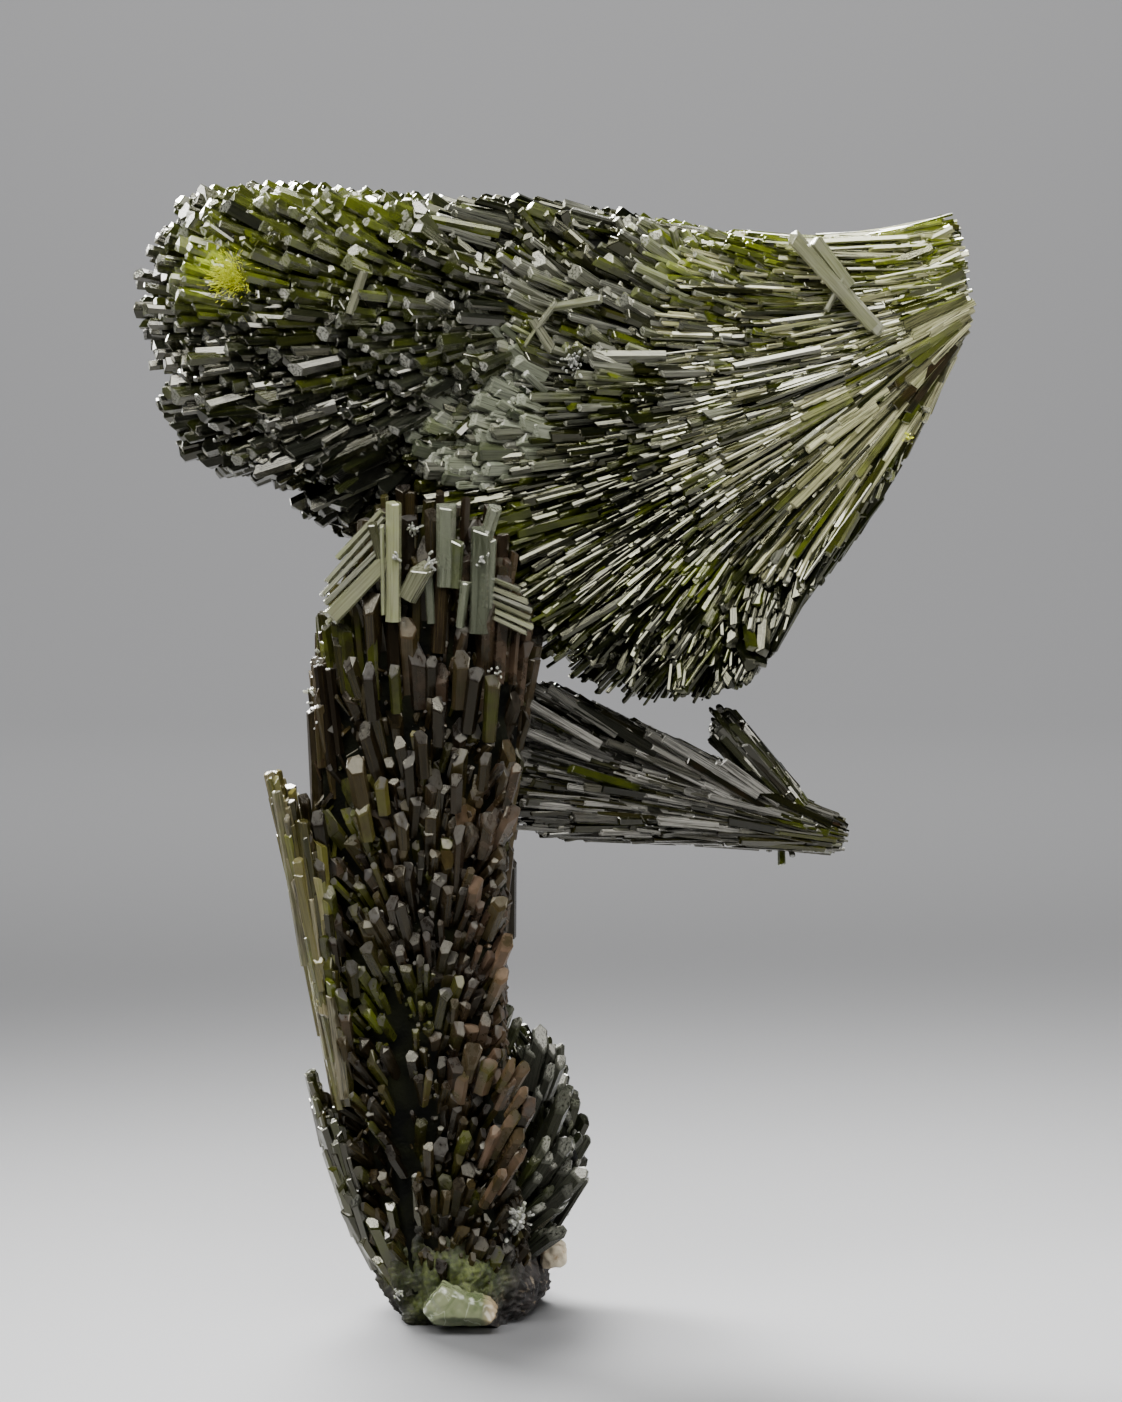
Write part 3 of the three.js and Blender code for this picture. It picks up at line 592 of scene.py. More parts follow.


# yellow is the colour of the painted glow, and the pale film colour paints dust and sheen
palette = {
    "dark": (0.003, 0.004, 0.0015), "olive": (0.03, 0.034, 0.004), "yellow": (0.42, 0.52, 0.03),
    "rust": (0.06, 0.028, 0.014), "frost": (0.16, 0.18, 0.14), "lines": 5, "pits": 4, "gloss": 0.06, "relief": 0.2,
    "ior": 1.74, "clear": 0.15, "sideCoat": 0.4, "endCoat": 0.6, "sideFrost": 0.25, "sheen": (1, 0.96, 0.78),
}
finishes = {
    # the olive finish's pale yellow film on the sides paints the silvery sheen of the laths
    "epidoteOlive": {"olive": (0.055, 0.055, 0.005), "sideCoat": 0.5, "clear": 0.2, "ior": 2,
                     "frost": (0.64, 0.62, 0.34), "sideFrost": 1, "sheen": (1, 0.98, 0.66)},
    "epidoteGrey": {"olive": (0.035, 0.035, 0.004), "frost": (0.37, 0.37, 0.3), "sideFrost": 0.5, "sideCoat": 0.1,
                    "endCoat": 0.15, "ior": 1.72, "sheen": (1, 0.98, 0.68)},
    "epidoteDark": {"frost": (0.34, 0.34, 0.29), "sideCoat": 0.15, "endCoat": 0.4, "ior": 1.78, "sideFrost": 0.06},
    "epidoteMatt": {"dark": (0.005, 0.006, 0.003), "olive": (0.028, 0.034, 0.013), "frost": (0.33, 0.33, 0.28),
                    "sideCoat": 0, "endCoat": 0.1, "gloss": 0.16, "ior": 1.45},
    "epidoteFrosted": {"dark": (0.012, 0.016, 0.009), "olive": (0.07, 0.08, 0.045), "frost": (0.33, 0.35, 0.26),
                       "sideFrost": 0.6, "sideCoat": 0.1, "endCoat": 0.2, "gloss": 0.22, "ior": 1.5},
    "epidoteArm": {"dark": (0.003, 0.0035, 0.0015), "olive": (0.026, 0.025, 0.004), "frost": (0.28, 0.27, 0.24),
                   "sideFrost": 0.85, "sideCoat": 0.3, "ior": 1.6},
    "epidoteBlade": {"dark": (0.012, 0.011, 0.003), "olive": (0.12, 0.105, 0.028), "frost": (0.46, 0.4, 0.27),
                     "sideFrost": 0.7, "sideCoat": 0.15, "endCoat": 0.1, "ior": 1.6},
    "epidoteBrown": {"dark": (0.009, 0.006, 0.003), "olive": (0.058, 0.042, 0.014), "frost": (0.066, 0.062, 0.058),
                     "rust": (0.17, 0.105, 0.065), "sideFrost": 0.03, "pits": 1.4, "sideCoat": 0, "endCoat": 0,
                     "gloss": 0.2, "ior": 1.42},
    "epidotePale": {"dark": (0.07, 0.07, 0.035), "olive": (0.34, 0.34, 0.22), "clear": 0.3,
                    "frost": (0.5, 0.5, 0.42), "sideFrost": 0.6},
    "epidoteGlassy": {"dark": (0.06, 0.07, 0.035), "olive": (0.26, 0.29, 0.19), "clear": 0.62, "gloss": 0.07,
                      "frost": (0.56, 0.57, 0.46), "sideFrost": 0.6},
    # pale specks for the white tuft and for painted glints
    "whiteNeedles": {"dark": (0.2, 0.2, 0.18), "olive": (0.5, 0.5, 0.46), "frost": (0.5, 0.5, 0.46), "clear": 0,
                     "endCoat": 0.2, "sideCoat": 0.1, "ior": 1.5},
    "goldFibres": {"dark": (0.5, 0.54, 0.01), "olive": (0.8, 0.84, 0.02), "frost": (0.9, 0.93, 0.3), "clear": 0,
                   "endCoat": 0.3, "sideCoat": 0.2, "ior": 1.6},
}
for name, finish in finishes.items():
    crystalMaterial(name, {**palette, **finish})

heartLook = {"low": (0.001, 0.0012, 0.0006), "high": (0.009, 0.01, 0.003), "roughness": 0.7, "shine": 0.1}


def heartMaterial(look):
    # near-black core between the crystals, painted shade deep in the spray: two dark greens by slow noise, with fine
    # grit in its surface
    tree, shader = newMaterial("shadedHeart")
    place = objectPlace(tree)
    color = blend(tree, spanOf(tree, noiseOf(tree, place, 300, 5), 0.4, 0.7), look["low"], look["high"])
    dress(tree, shader, color, noiseOf(tree, place, 3000, 3), 0.6, 0.0002, Roughness=look["roughness"],
          Specular_IOR_Level=look["shine"])


rockLook = {
    "low": (0.005, 0.004, 0.0035), "high": (0.055, 0.042, 0.036), "moss": (0.028, 0.042, 0.004),
    "fresh": (0.115, 0.14, 0.022), "crumb": (0.4, 0.32, 0.22), "roughness": 0.5,
}


def rockMaterial(look):
    # brown streaks drawn out upwards, then moss and pale crumbs where the mesh says so, broken up by noise
    tree, shader = newMaterial("footRock")
    place = objectPlace(tree)
    streak = noiseOf(tree, drawnOut(tree, place, (1, 1, 0.3)), 1300, 5, Roughness=0.7)
    cloud = noiseOf(tree, place, 700, 5, Roughness=0.65)
    grit = noiseOf(tree, place, 3200, 4, Roughness=0.7)
    color = blend(tree, spanOf(tree, streak, 0.42, 0.72), look["low"], look["high"])
    green = blend(tree, spanOf(tree, cloud, 0.4, 0.66), look["moss"], look["fresh"])
    mossy = sums(tree, "MULTIPLY", trait(tree, "moss"), spanOf(tree, grit, 0.3, 0.55))
    pale = sums(tree, "MULTIPLY", trait(tree, "crumb"), spanOf(tree, cloud, 0.58, 0.66))
    color = blend(tree, pale, blend(tree, mossy, color, green), look["crumb"])
    dress(tree, shader, color, grit, 0.7, 0.00025, Roughness=look["roughness"])


chunkLook = {
    "body": (0.31, 0.34, 0.19), "deep": (0.16, 0.2, 0.09), "vein": (0.54, 0.57, 0.4), "edge": (0.66, 0.5, 0.3),
    "clear": 0.35, "ior": 1.55, "roughness": 0.25,
}


def chunkMaterial(look):
    # green glass with cloudy depths, veins where noise crosses its middle value, and a cream edge at one side
    tree, shader = newMaterial("greenChunk")
    place = objectPlace(tree)
    slow = noiseOf(tree, place, 260, 3, Distortion=1.5)
    veins = noiseOf(tree, place, 210, 3, Distortion=1.2)
    line = spanOf(tree, sums(tree, "ABSOLUTE", sums(tree, "SUBTRACT", veins, 0.52)), 0.016, 0.004)
    color = blend(tree, spanOf(tree, slow, 0.4, 0.6), look["body"], look["deep"])
    color = blend(tree, sums(tree, "MULTIPLY", line, 0.6), color, look["vein"])
    rim = sums(tree, "MULTIPLY", trait(tree, "crumb"), spanOf(tree, veins, 0.35, 0.5))
    dress(tree, shader, blend(tree, rim, color, look["edge"]), veins, 0.25, 0.0003, Roughness=look["roughness"],
          IOR=look["ior"], Transmission_Weight=look["clear"])


creamLook = {"pale": (0.78, 0.68, 0.5), "dark": (0.42, 0.28, 0.15), "roughness": 0.7}


def creamMaterial(look):
    # cream with tan in its hollows
    tree, shader = newMaterial("creamCrust")
    cloud = noiseOf(tree, objectPlace(tree), 900, 5, Roughness=0.65)
    color = blend(tree, spanOf(tree, cloud, 0.5, 0.7), look["pale"], look["dark"])
    dress(tree, shader, color, cloud, 0.6, 0.0003, Roughness=look["roughness"])


heartMaterial(heartLook)
rockMaterial(rockLook)
chunkMaterial(chunkLook)
creamMaterial(creamLook)
print("made", len(materials), "materials")


def finishPiece(piece, finish, replaced=()):
    piece.data.materials.append(materials[finish])
    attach(piece, "root")
    if replaced:
        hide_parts(*replaced)
    print("made", piece.name, len(piece.data.polygons), "faces")


def crystalGroup(name, crystals, look, finish, traitSeed, shapeSeed, bevel=0.06, replaced=()):
    piece = crystalPiece(name, crystals, traitsOf(crystals, look, traitSeed), shapeSeed, bevel)
    finishPiece(piece, finish, replaced)


heartShape = {"round": 7, "pole": 0.02, "around": 8, "onward": 1.5, "waves": 2.2}


# A spray's near-black core: painted shade that shows in the gaps between its crystals.
def heartOf(name, spray, look):
    # the loft through the strands at one share of the reach, fluted by slow waves. Both ends narrow to a pole, as
    # the sine of pi times the part of the way, made steeper and held at 1
    rows, columns = look["grid"]
    part = np.linspace(0, 1, rows)[:, None]
    first, last = look["along"]
    reach = look["share"] * np.clip(np.sin(math.pi * part) * heartShape["round"], heartShape["pole"], 1)
    angle = 2 * math.pi * np.arange(columns)[None, :] / columns
    around, onward = heartShape["around"], heartShape["onward"]
    tube = np.broadcast_arrays(around * np.cos(angle), around * np.sin(angle), onward * part)
    reach = reach * (1 + look["flutes"] * rumple(np.stack(tube, -1), heartShape["waves"], 5))
    points = strandPoint(spray, angle, reach, first + (last - first) * part)
    finishPiece(gridPiece(name, points), "shadedHeart")


def buildSpray(name, spray, layers, look, finish, seed, replaced=(), bevel=0.06):
    sets = [crystalsAlong(spray, layer, seed + 10 * number) for number, layer in enumerate(layers.values())]
    crystalGroup(name, insideOnly(joinSets(sets)), look, finish, seed + 5, seed + 7, bevel, replaced)


# The fan
fanCrystals = {
    "fine": {"count": 4400, "along": (0.04, 0.66), "share": (0.86, 1), "width": (0.22, 0.62, 1.5),
             "flat": (0.9, 1.5), "length": (4, 12), "lift": 0.93, "swell": (7, 0.04), "start": 0.12, "roll": 0.5},
    "middle": {"count": 3300, "along": (0.42, 0.9), "share": (0.86, 1.01), "width": (0.3, 1, 1.8),
               "flat": (0.8, 1.2), "length": (3, 7), "lift": 0.88, "lean": 0.08, "turn": 0.2, "swell": (6, 0.06),
               "roll": 0.66, "slim": (12, 76, 13, 0.58)},
    "blocks": {"count": 1100, "along": (0.66, 0.98), "share": (0.92, 1.02), "width": (0.6, 1.8, 1.6),
               "length": (3, 6), "lift": 0.86, "lean": 0.15, "wild": 0.035, "turn": 0.2, "swell": (5, 0.07),
               "roll": 0.66, "slim": (12, 76, 13, 0.7)},
    "ends": {"count": 1700, "rough": 0.04, "width": (0.4, 1.5, 1.7), "length": (4, 9), "wild": 0.04,
             "ragged": (3.5, 0.13), "roll": 0.5, "slim": (18, 70, 15, 0.5)},
    "tail": {"count": 320, "rough": 0.03, "width": (0.4, 1.1, 1.5), "length": (5, 9), "lift": 0.97,
             "steep": (0, 0.4), "gentle": (0, 0.3), "ragged": (2, 0.08), "over": 0.01},
}
fanLook = {
    "tone": (0.12, 0.32, 0.12), "paintedGlow": (0, 0.1, 0.05), "frost": (-0.5, 0.9, 0.12),
    # the glow spots paint light shining through, mostly along the fan's top edge
    "paintedGlowAt": [(44, 107, 6, 0.4), (30, 109, 6, 0.3), (21, 106, 3, 0.6), (22, 76, 2.5, 0.4)],
    "frostAt": [
        (36, 92, 12, 0.35), (30, 77, 7, 0.2), (44, 104, 6, 0.3), (20, 106, 7, 1), (6, 76, 11, -0.8),
        (22, 70, 8, -0.4),
    ],
    "rustAt": [(43.4, 94.6, 1.5, 1)],
    "toneAt": [(8, 73, 11, -0.4), (-2, 82, 8, -0.3), (24, 70, 9, -0.2), (40, 102, 8, 0.3), (22, 104, 8, 0.25)],
}
blocksLook = {
    **fanLook, "tone": (-0.15, 0.3, 0.12), "frost": (-0.35, 0.6, 0.15),
    "frostAt": [
        (36, 92, 12, 0.3), (20, 106, 7, 1.1), (1, 101, 8, 0.8), (6, 96, 8, 0.7), (3, 88, 6, 0.6), (7, 74, 12, -1.3),
        (22, 69, 9, -0.7),
    ],
}
fanPlates = {
    "edge": {"count": 420, "along": (0.06, 0.5), "share": (1, 1.05), "width": (0.7, 1.4, 1.2), "flat": (0.5, 0.8),
             "length": (5, 11), "lift": 0.97, "wild": 0.02, "turn": 0.1, "only": (43.5, 94, 3.6, 6.5)},
    "sweep": {"count": 600, "along": (0.2, 0.85), "share": (1, 1.04), "width": (0.5, 1, 1.4), "flat": (0.5, 0.8),
              "length": (5, 12), "lift": 0.97, "wild": 0.02, "turn": 0.1, "only": (34, 83, 5, 9)},
}
platesLook = {
    # the plates' strong film paints their silvery sheen
    "tone": (0.25, 0.3, 0.1), "paintedGlow": (0.05, 0.15, 0), "frost": (0.5, 0.6, 0), "rustAt": [(43.4, 94.6, 1.3, 1)],
    "frostAt": [(43.4, 94.6, 1.3, -1)],
}
frostedBlocks = {
    "blocks": {"count": 2600, "along": (0.66, 0.99), "share": (0.97, 1.04), "width": (0.9, 2.1, 1.2),
               "flat": (0.7, 1), "length": (2.5, 4.5), "lift": 0.78, "wild": 0.04, "swell": (5, 0.05),
               "steep": (0.4, 0.9), "only": (-1.5, 93, 6.5, 9.5)},
}
frostedLook = {"tone": (0.35, 0.45, 0.15), "paintedGlow": (0, 0.05, 0), "frost": (0.65, 0.55, 0.15)}
heartOf("fan_heart", fan, {"grid": (60, 120), "along": (0.05, 0.93), "share": 0.86, "flutes": 0.02})
for names, look, finish, replaced, seed in (
        (("fine", "tail"), fanLook, "epidoteOlive", ["fan_spray"], 100),
        (("middle",), blocksLook, "epidoteGrey", [], 110), (("blocks", "ends"), blocksLook, "epidoteGrey", [], 120)):
    layers = {key: fanCrystals[key] for key in names}
    buildSpray("fan_" + names[0], fan, layers, look, finish, seed, replaced)
buildSpray("fan_plates", fan, fanPlates, platesLook, "epidoteOlive", 140)
buildSpray("fan_frosted", fan, frostedBlocks, frostedLook, "epidoteFrosted", 160, bevel=0.14)

# The head
headCrystals = {
    "skin": {"count": 1050, "along": (0.1, 0.92), "share": (0.9, 1.03), "width": (0.7, 1.8, 1.3),
             "flat": (0.75, 1.05), "length": (3, 6), "lift": 0.92, "lean": 0.25, "wild": 0.04, "turn": 0.15,
             "swell": (5, 0.08), "facing": 0.4, "roll": 0.72},
    "small": {"count": 1500, "along": (0.1, 0.92), "share": (0.82, 0.95), "width": (0.3, 0.9, 1.6),
              "flat": (0.8, 1.1), "length": (3, 6), "lift": 0.92, "lean": 0.2, "wild": 0.05, "turn": 0.2,
              "swell": (5, 0.08), "roll": 0.72},
    "ends": {"count": 800, "rough": 0.06, "width": (0.8, 2, 1.4), "flat": (0.75, 1.05), "length": (5, 9),
             "lift": 0.92, "wild": 0.04, "turn": 0.18, "ragged": (3, 0.13), "roll": 0.7},
}
headLook = {
    "tone": (0.02, 0.25, 0.15), "paintedGlow": (0, 0.05, 0.02), "frost": (0.3, 0.4, 0.1),
    "toneAt": [(-18, 110, 10, 0.5), (-18, 92, 9, -0.25)],
    "paintedGlowAt": [(-24.5, 104.8, 2.6, 1.2), (-10, 109, 5, 0.25), (-20, 110, 5, 0.15)],
}
heartOf("head_heart", head, {"grid": (50, 110), "along": (0, 0.86), "share": 0.8, "flutes": 0.03})
buildSpray("head_crystals", head, headCrystals, headLook, "epidoteDark", 200, ["head_spray"])

# The upright
uprightCrystals = {
    "tall": {"count": 130, "along": (0.6, 0.97), "share": (0.93, 1.02), "width": (1.2, 1.9, 1), "flat": (0.8, 1),
             "length": (5, 9), "lift": 0.76, "turn": 0.15, "swell": (6, 0.08), "steep": (1.1, 1.8),
             "gentle": (0.5, 1), "ridge": (-0.45, -0.2), "facing": 0.3},
    "stubs": {"count": 1350, "along": (0.04, 0.76), "share": (0.92, 1.04), "width": (0.7, 1.7, 1.3),
              "flat": (0.8, 1.05), "length": (3, 5.5), "lift": 0.93, "wild": 0.07, "turn": 0.3, "swell": (4, 0.09),
              "lean": 0.38, "steep": (0.5, 1.2), "gentle": (0.3, 0.8), "ridge": (-0.4, 0), "splay": (-6.5, 9, 0.35),
              "valley": (-7.4, 1.3, 7, 34)},
    "small": {"count": 1200, "along": (0.04, 0.95), "share": (0.84, 0.96), "width": (0.35, 0.9, 1.3),
              "flat": (0.8, 1.05), "length": (2.5, 5), "lift": 0.93, "lean": 0.4, "wild": 0.1, "turn": 0.4,
              "swell": (4, 0.09), "steep": (0.5, 1.2), "gentle": (0.3, 0.8), "ridge": (-0.4, 0),
              "splay": (-6.5, 9, 0.3), "valley": (-7.4, 1.1, 7, 36)},
    "ends": {"count": 240, "rough": 0.05, "width": (0.9, 2.1, 1.5), "flat": (0.75, 1), "length": (6, 11),
             "wild": 0.04, "turn": 0.3},
    "glitter": {"count": 1200, "along": (0.05, 0.9), "share": (0.86, 0.97), "width": (0.2, 0.55, 1),
                "flat": (0.7, 1), "length": (1.2, 3), "lift": 0.55, "wild": 0.35, "turn": 1, "swell": (4, 0.09),
                "valley": (-7.4, 0.9, 7, 40)},
}
uprightLook = {
    "tone": (0.22, 0.3, 0.15), "paintedGlow": (-0.04, 0.06, 0), "rust": (-0.05, 0.12, 0.1), "frost": (0.55, 0.3, 0.1),
    "rustAt": [(3, 26, 6, 0.9), (2.5, 38, 4.5, 0.8), (3, 50, 5, 0.7), (0, 68, 7, 0.4)],
    # the glow spots are painted yellow-green glints on the dark left side
    "paintedGlowAt": [
        (-14, 70, 3, 0.2), (-10.5, 32, 4, 0.22), (-12.5, 50, 3, 0.25), (-12.8, 43, 3, 0.12), (-6, 29, 3, 0.18),
    ],
    "toneAt": [(-8, 32, 7, -0.25), (-10, 12, 6, -0.2)], "frostAt": [(-9, 14, 7, -0.35)],
}
heartOf("upright_heart", upright, {"grid": (80, 110), "along": (0, 0.95), "share": 0.86, "flutes": 0.03})
buildSpray("upright_crystals", upright, uprightCrystals, uprightLook, "epidoteBrown", 300,
           ["upright_spray"])

# The arm and its spur
armCrystals = {
    "fine": {"count": 2400, "along": (0.04, 0.97), "share": (0.86, 1.02), "width": (0.18, 0.5, 1.5),
             "flat": (0.7, 1.3), "length": (2.5, 9), "lift": 0.9, "wild": 0.025, "turn": 0.2, "start": 0.06,
             "swell": (4, 0.06)},
    "skin": {"count": 260, "along": (0.3, 0.98), "share": (0.92, 1.04), "width": (0.5, 1.1, 1.5), "flat": (0.5, 0.9),
             "length": (3, 8), "lift": 0.85, "turn": 0.15, "start": 0.06, "swell": (4, 0.08)},
    "ends": {"count": 200, "rough": 0.05, "width": (0.4, 1.2, 1.4), "length": (5, 10), "turn": 0.2,
             "ragged": (3, 0.06)},
    "tail": {"count": 70, "rough": 0.04, "width": (0.5, 1.1, 1.5), "length": (4, 7), "lift": 0.97, "wild": 0.02,
             "turn": 0.2, "steep": (0, 0.4), "gentle": (0, 0.3), "over": 0.01, "ragged": (2, 0.05)},
}
spurCrystals = {
    "skin": {"count": 130, "along": (0.15, 0.97), "share": (0.85, 1), "width": (0.4, 1, 1.3), "flat": (0.7, 1),
             "length": (3, 7), "lift": 0.85, "turn": 0.3},
    "ends": {"count": 34, "rough": 0.12, "width": (0.8, 1.4, 1.5), "flat": (0.8, 1), "length": (5, 9), "turn": 0.3},
}
armLook = {
    "tone": (0.15, 0.3, 0.1), "paintedGlow": (-0.1, 0.08, 0), "rust": (0, 0.1, 0), "frost": (0.08, 0.55, 0.1),
    "frostAt": [(19, 56, 5, 0.7), (27, 53, 4, 0.5), (6, 61, 5, 0.6), (14, 50, 8, -0.1), (32, 48, 3, -0.6)],
    "paintedGlowAt": [(33.5, 48.5, 2.2, 0.25), (24.6, 51.6, 2.5, -0.5)], "toneAt": [(31, 48, 4, 0.6)],
}
heartOf("arm_heart", arm, {"grid": (40, 60), "along": (0, 1), "share": 0.88, "flutes": 0.02})
buildSpray("arm_crystals", arm, armCrystals, armLook, "epidoteArm", 400, ["arm_spray"])
buildSpray("spur_crystals", spur, spurCrystals, armLook, "epidoteDark", 420, bevel=0.16)

# The side blade, and the shingles below it
bladeCrystals = {
    "skin": {"count": 150, "along": (0.3, 0.97), "share": (0.88, 1), "width": (0.6, 1.5, 1.3), "length": (6, 18),
             "lift": 0.85, "wild": 0.015, "turn": 0.12, "start": 0.5},
    "ends": {"count": 55, "rough": 0.16, "width": (0.6, 1.4, 1.5), "length": (8, 18), "wild": 0.015, "turn": 0.12,
             "start": 0.5},
}
bladeLook = {
    "tone": (0.3, 0.45, 0.1), "paintedGlow": (0, 0.1, 0), "rust": (0, 0.15, 0), "frost": (-0.05, 0.5, 0.05),
    "paintedGlowAt": [(-17.5, 38, 3, 0.15), (-16, 31, 3, 0.15)],
}
shingleCrystals = {
    "skin": {"count": 110, "along": (0.3, 0.97), "share": (0.9, 1.02), "width": (0.6, 1.3, 1.3), "flat": (0.7, 1),
             "length": (3, 8), "lift": 0.75, "wild": 0.04, "swell": (4, 0.08)},
    "ends": {"count": 38, "rough": 0.3, "width": (0.8, 1.5, 1.5), "flat": (0.7, 1), "length": (5, 10), "lift": 0.9,
             "wild": 0.04},
}
shingleLook = {"tone": (0.3, 0.25, 0.1), "paintedGlow": (0, 0.06, 0), "rust": (0.1, 0.1, 0), "frost": (0.1, 0.2, 0.05)}
heartOf("blade_heart", blade, {"grid": (40, 60), "along": (0.1, 0.86), "share": 0.72, "flutes": 0.02})
buildSpray("blade_crystals", blade, bladeCrystals, bladeLook, "epidoteBlade", 500, ["side_blade"])
buildSpray("shingle_crystals", shingles, shingleCrystals, shingleLook, "epidoteDark", 520)

# The foot lobe
lobeCrystals = {
    "skin": {"count": 150, "along": (0.25, 0.93), "share": (0.84, 0.98), "width": (0.8, 1.6, 1.3), "flat": (0.8, 1),
             "length": (3, 5), "lift": 0.55, "wild": 0.1, "turn": 0.4, "swell": (3, 0.12)},
    "ends": {"count": 60, "share": (0, 0.95), "rough": 0.25, "width": (0.9, 1.7, 1.2), "flat": (0.8, 1),
             "length": (3, 7), "lift": 0.8, "wild": 0.1, "turn": 0.4, "ragged": (3, 0.2)},
    "small": {"count": 220, "along": (0.1, 0.95), "share": (0.84, 0.96), "width": (0.4, 0.9, 1.2), "flat": (0.8, 1),
              "length": (2, 5), "lift": 0.6, "wild": 0.12, "turn": 0.6, "swell": (4, 0.1)},
}
lobeLook = {"tone": (0.3, 0.2, 0.1), "paintedGlow": (0, 0.05, 0), "rust": (0, 0.05, 0), "frost": (0.5, 0.2, 0.05)}
heartOf("lobe_heart", lobe, {"grid": (30, 60), "along": (0, 0.9), "share": 0.8, "flutes": 0.03})
buildSpray("lobe_crystals", lobe, lobeCrystals, lobeLook, "epidoteMatt", 600, ["foot_lobe"], 0.22)

# Single prisms: from the buried end to the tip, then width and thickness.
crossed = [
    ((39, -2.7, 99.6), (30.7, -3.4, 108.8), 1.6, 1.2), ((36.6, -2.6, 103.6), (33, -3, 108.3), 1.5, 1.1),
    ((35.6, -2.8, 103.6), (39.8, -2.7, 99), 1.3, 1), ((36, -2.9, 104.4), (34.2, -2.9, 101.1), 0.6, 0.8),
]
twin = [
    ((7, -5.2, 101.6), (12.2, -4.8, 102.5), 0.9, 0.9), ((7.7, -5.2, 102.2), (5.6, -5, 99.4), 0.7, 0.9),
    ((5.3, -5, 100.4), (7.3, -5, 97.3), 1.1, 0.9), ((6, -5, 100.1), (4.4, -5, 97.6), 0.5, 0.8),
]
stray = [((-12.6, -8.2, 101.1), (-11.2, -7.2, 105.4), 1, 0.8)]
crownLeft = [
    ((-8.3, -11.2, 71.2), (-8.2, -11.3, 83.1), 1.6, 1.5), ((-9.3, -11.3, 71.9), (-9.4, -11.4, 80.8), 0.5, 0.9),
    ((-8.9, -11, 77.4), (-14.7, -10.2, 71.3), 1.8, 0.9), ((-9, -10.9, 78.9), (-15.1, -9.8, 72.8), 0.7, 0.9),
    ((-9.2, -10.8, 80.2), (-15.5, -9.7, 73.5), 0.6, 0.8), ((-9.2, -10.7, 81.4), (-15, -9.6, 74.8), 0.6, 0.9),
    ((-9.4, -10.6, 82), (-13.9, -9.6, 77.2), 0.7, 0.9), ((-9.2, -10.9, 76.1), (-10.4, -10.9, 81), 1, 0.9),
    ((-9.6, -10.8, 76.2), (-15, -9.9, 70.8), 0.6, 0.9), ((-7, -10.8, 73.4), (-5, -11.2, 77), 2.2, 1.7),
]
crownMiddle = [
    ((-3.2, -10.7, 74.6), (-3.1, -10.9, 82.8), 2, 1.8), ((-2.3, -10.7, 74.5), (-2, -11, 79.3), 1.4, 1.3),
    ((-1.8, -10.9, 70.6), (-1.2, -11.2, 75.2), 1, 1), ((-4.6, -10.5, 71), (-4.9, -10.9, 76), 0.9, 1),
]
crownRight = [
    ((0.1, -10.6, 70), (0.4, -10.9, 80.6), 2.1, 1.8), ((0.2, -10.5, 77.5), (1.7, -10.9, 82.6), 1.4, 1.5),
    ((1, -10.6, 72.5), (1.4, -10.9, 79.4), 0.9, 1),
]
crownSteps = [
    ((0.3, -10.4, 75.7), (4.2, -9.5, 74), 0.6, 0.9), ((0.3, -10.4, 74.9), (4.9, -9.4, 72.9), 0.6, 0.9),
    ((0.3, -10.4, 74.2), (5.3, -9.3, 72), 0.6, 0.9), ((0.3, -10.4, 73.5), (5.2, -9.3, 71.2), 0.6, 0.9),
    ((0.3, -10.4, 72.8), (5.4, -9.3, 70.4), 0.6, 0.9), ((0.3, -10.4, 72.1), (4.9, -9.4, 69.8), 0.6, 0.9),
]
spike = [
    ((30.2, 1.6, 48.4), (30.3, 1.5, 45.2), 0.8, 0.7), ((31, 1.2, 48), (31.4, 1.2, 46.1), 0.6, 0.6),
    ((29.2, 1.4, 48.4), (29, 1.4, 46.6), 0.6, 0.6),
]
armLaths = [
    ((27.8, -0.6, 52.6), (18.2, -2.2, 58.6), 1, 0.6), ((26.6, -0.6, 52.4), (17, -2.4, 57.8), 0.7, 0.6),
    ((25.4, -0.8, 52.2), (15.4, -2.6, 57.4), 0.6, 0.6), ((30, -0.2, 51.8), (24.2, -1.2, 56.2), 1, 0.6),
    ((28.4, -0.4, 51.4), (20.6, -1.9, 56.4), 0.8, 0.6), ((35.2, 0.4, 49.6), (27.4, -0.6, 53.4), 1, 0.6),
    ((34, 0.4, 49.2), (26, -0.6, 52.4), 0.7, 0.6), ((22, -1.6, 54.6), (12.6, -3, 58.4), 0.8, 0.6),
    ((17.6, -2.2, 57.2), (9.4, -3.4, 62.2), 1.1, 0.6), ((13.6, -2.8, 59), (6.8, -3.8, 63.8), 0.9, 0.6),
    ((12, -3, 58), (4.8, -4.2, 62.4), 1, 0.6), ((11, -3, 56.6), (3.4, -4.2, 60), 0.8, 0.6),
]
paleLook = {"tone": (0.7, 0.3, 0), "paintedGlow": (0.05, 0.12, 0), "frost": (0.4, 0.3, 0)}
darkLook = {"tone": (0.4, 0.2, 0), "paintedGlow": (0, 0.1, 0), "frost": (0.2, 0.1, 0)}
listedEnds = {"steep": (0.4, 0.9), "gentle": (0.3, 0.6), "ridge": (-0.3, 0.2), "facing": 0.4}


def listedCrystals(prisms, seed):
    # crystals given one by one, with their wide faces towards the front
    random = np.random.default_rng(seed)
    foot, tip, width, thick = (np.array([row[k] for row in prisms], float) for k in range(4))
    out, length = np.tile([0, -1, 0.15], (len(tip), 1)), np.linalg.norm(tip - foot, axis=1)
    spin = random.normal(0, 0.1, len(tip))
    return crystalSet(random, listedEnds, tip, unit(tip - foot), out, length, width, thick, spin)


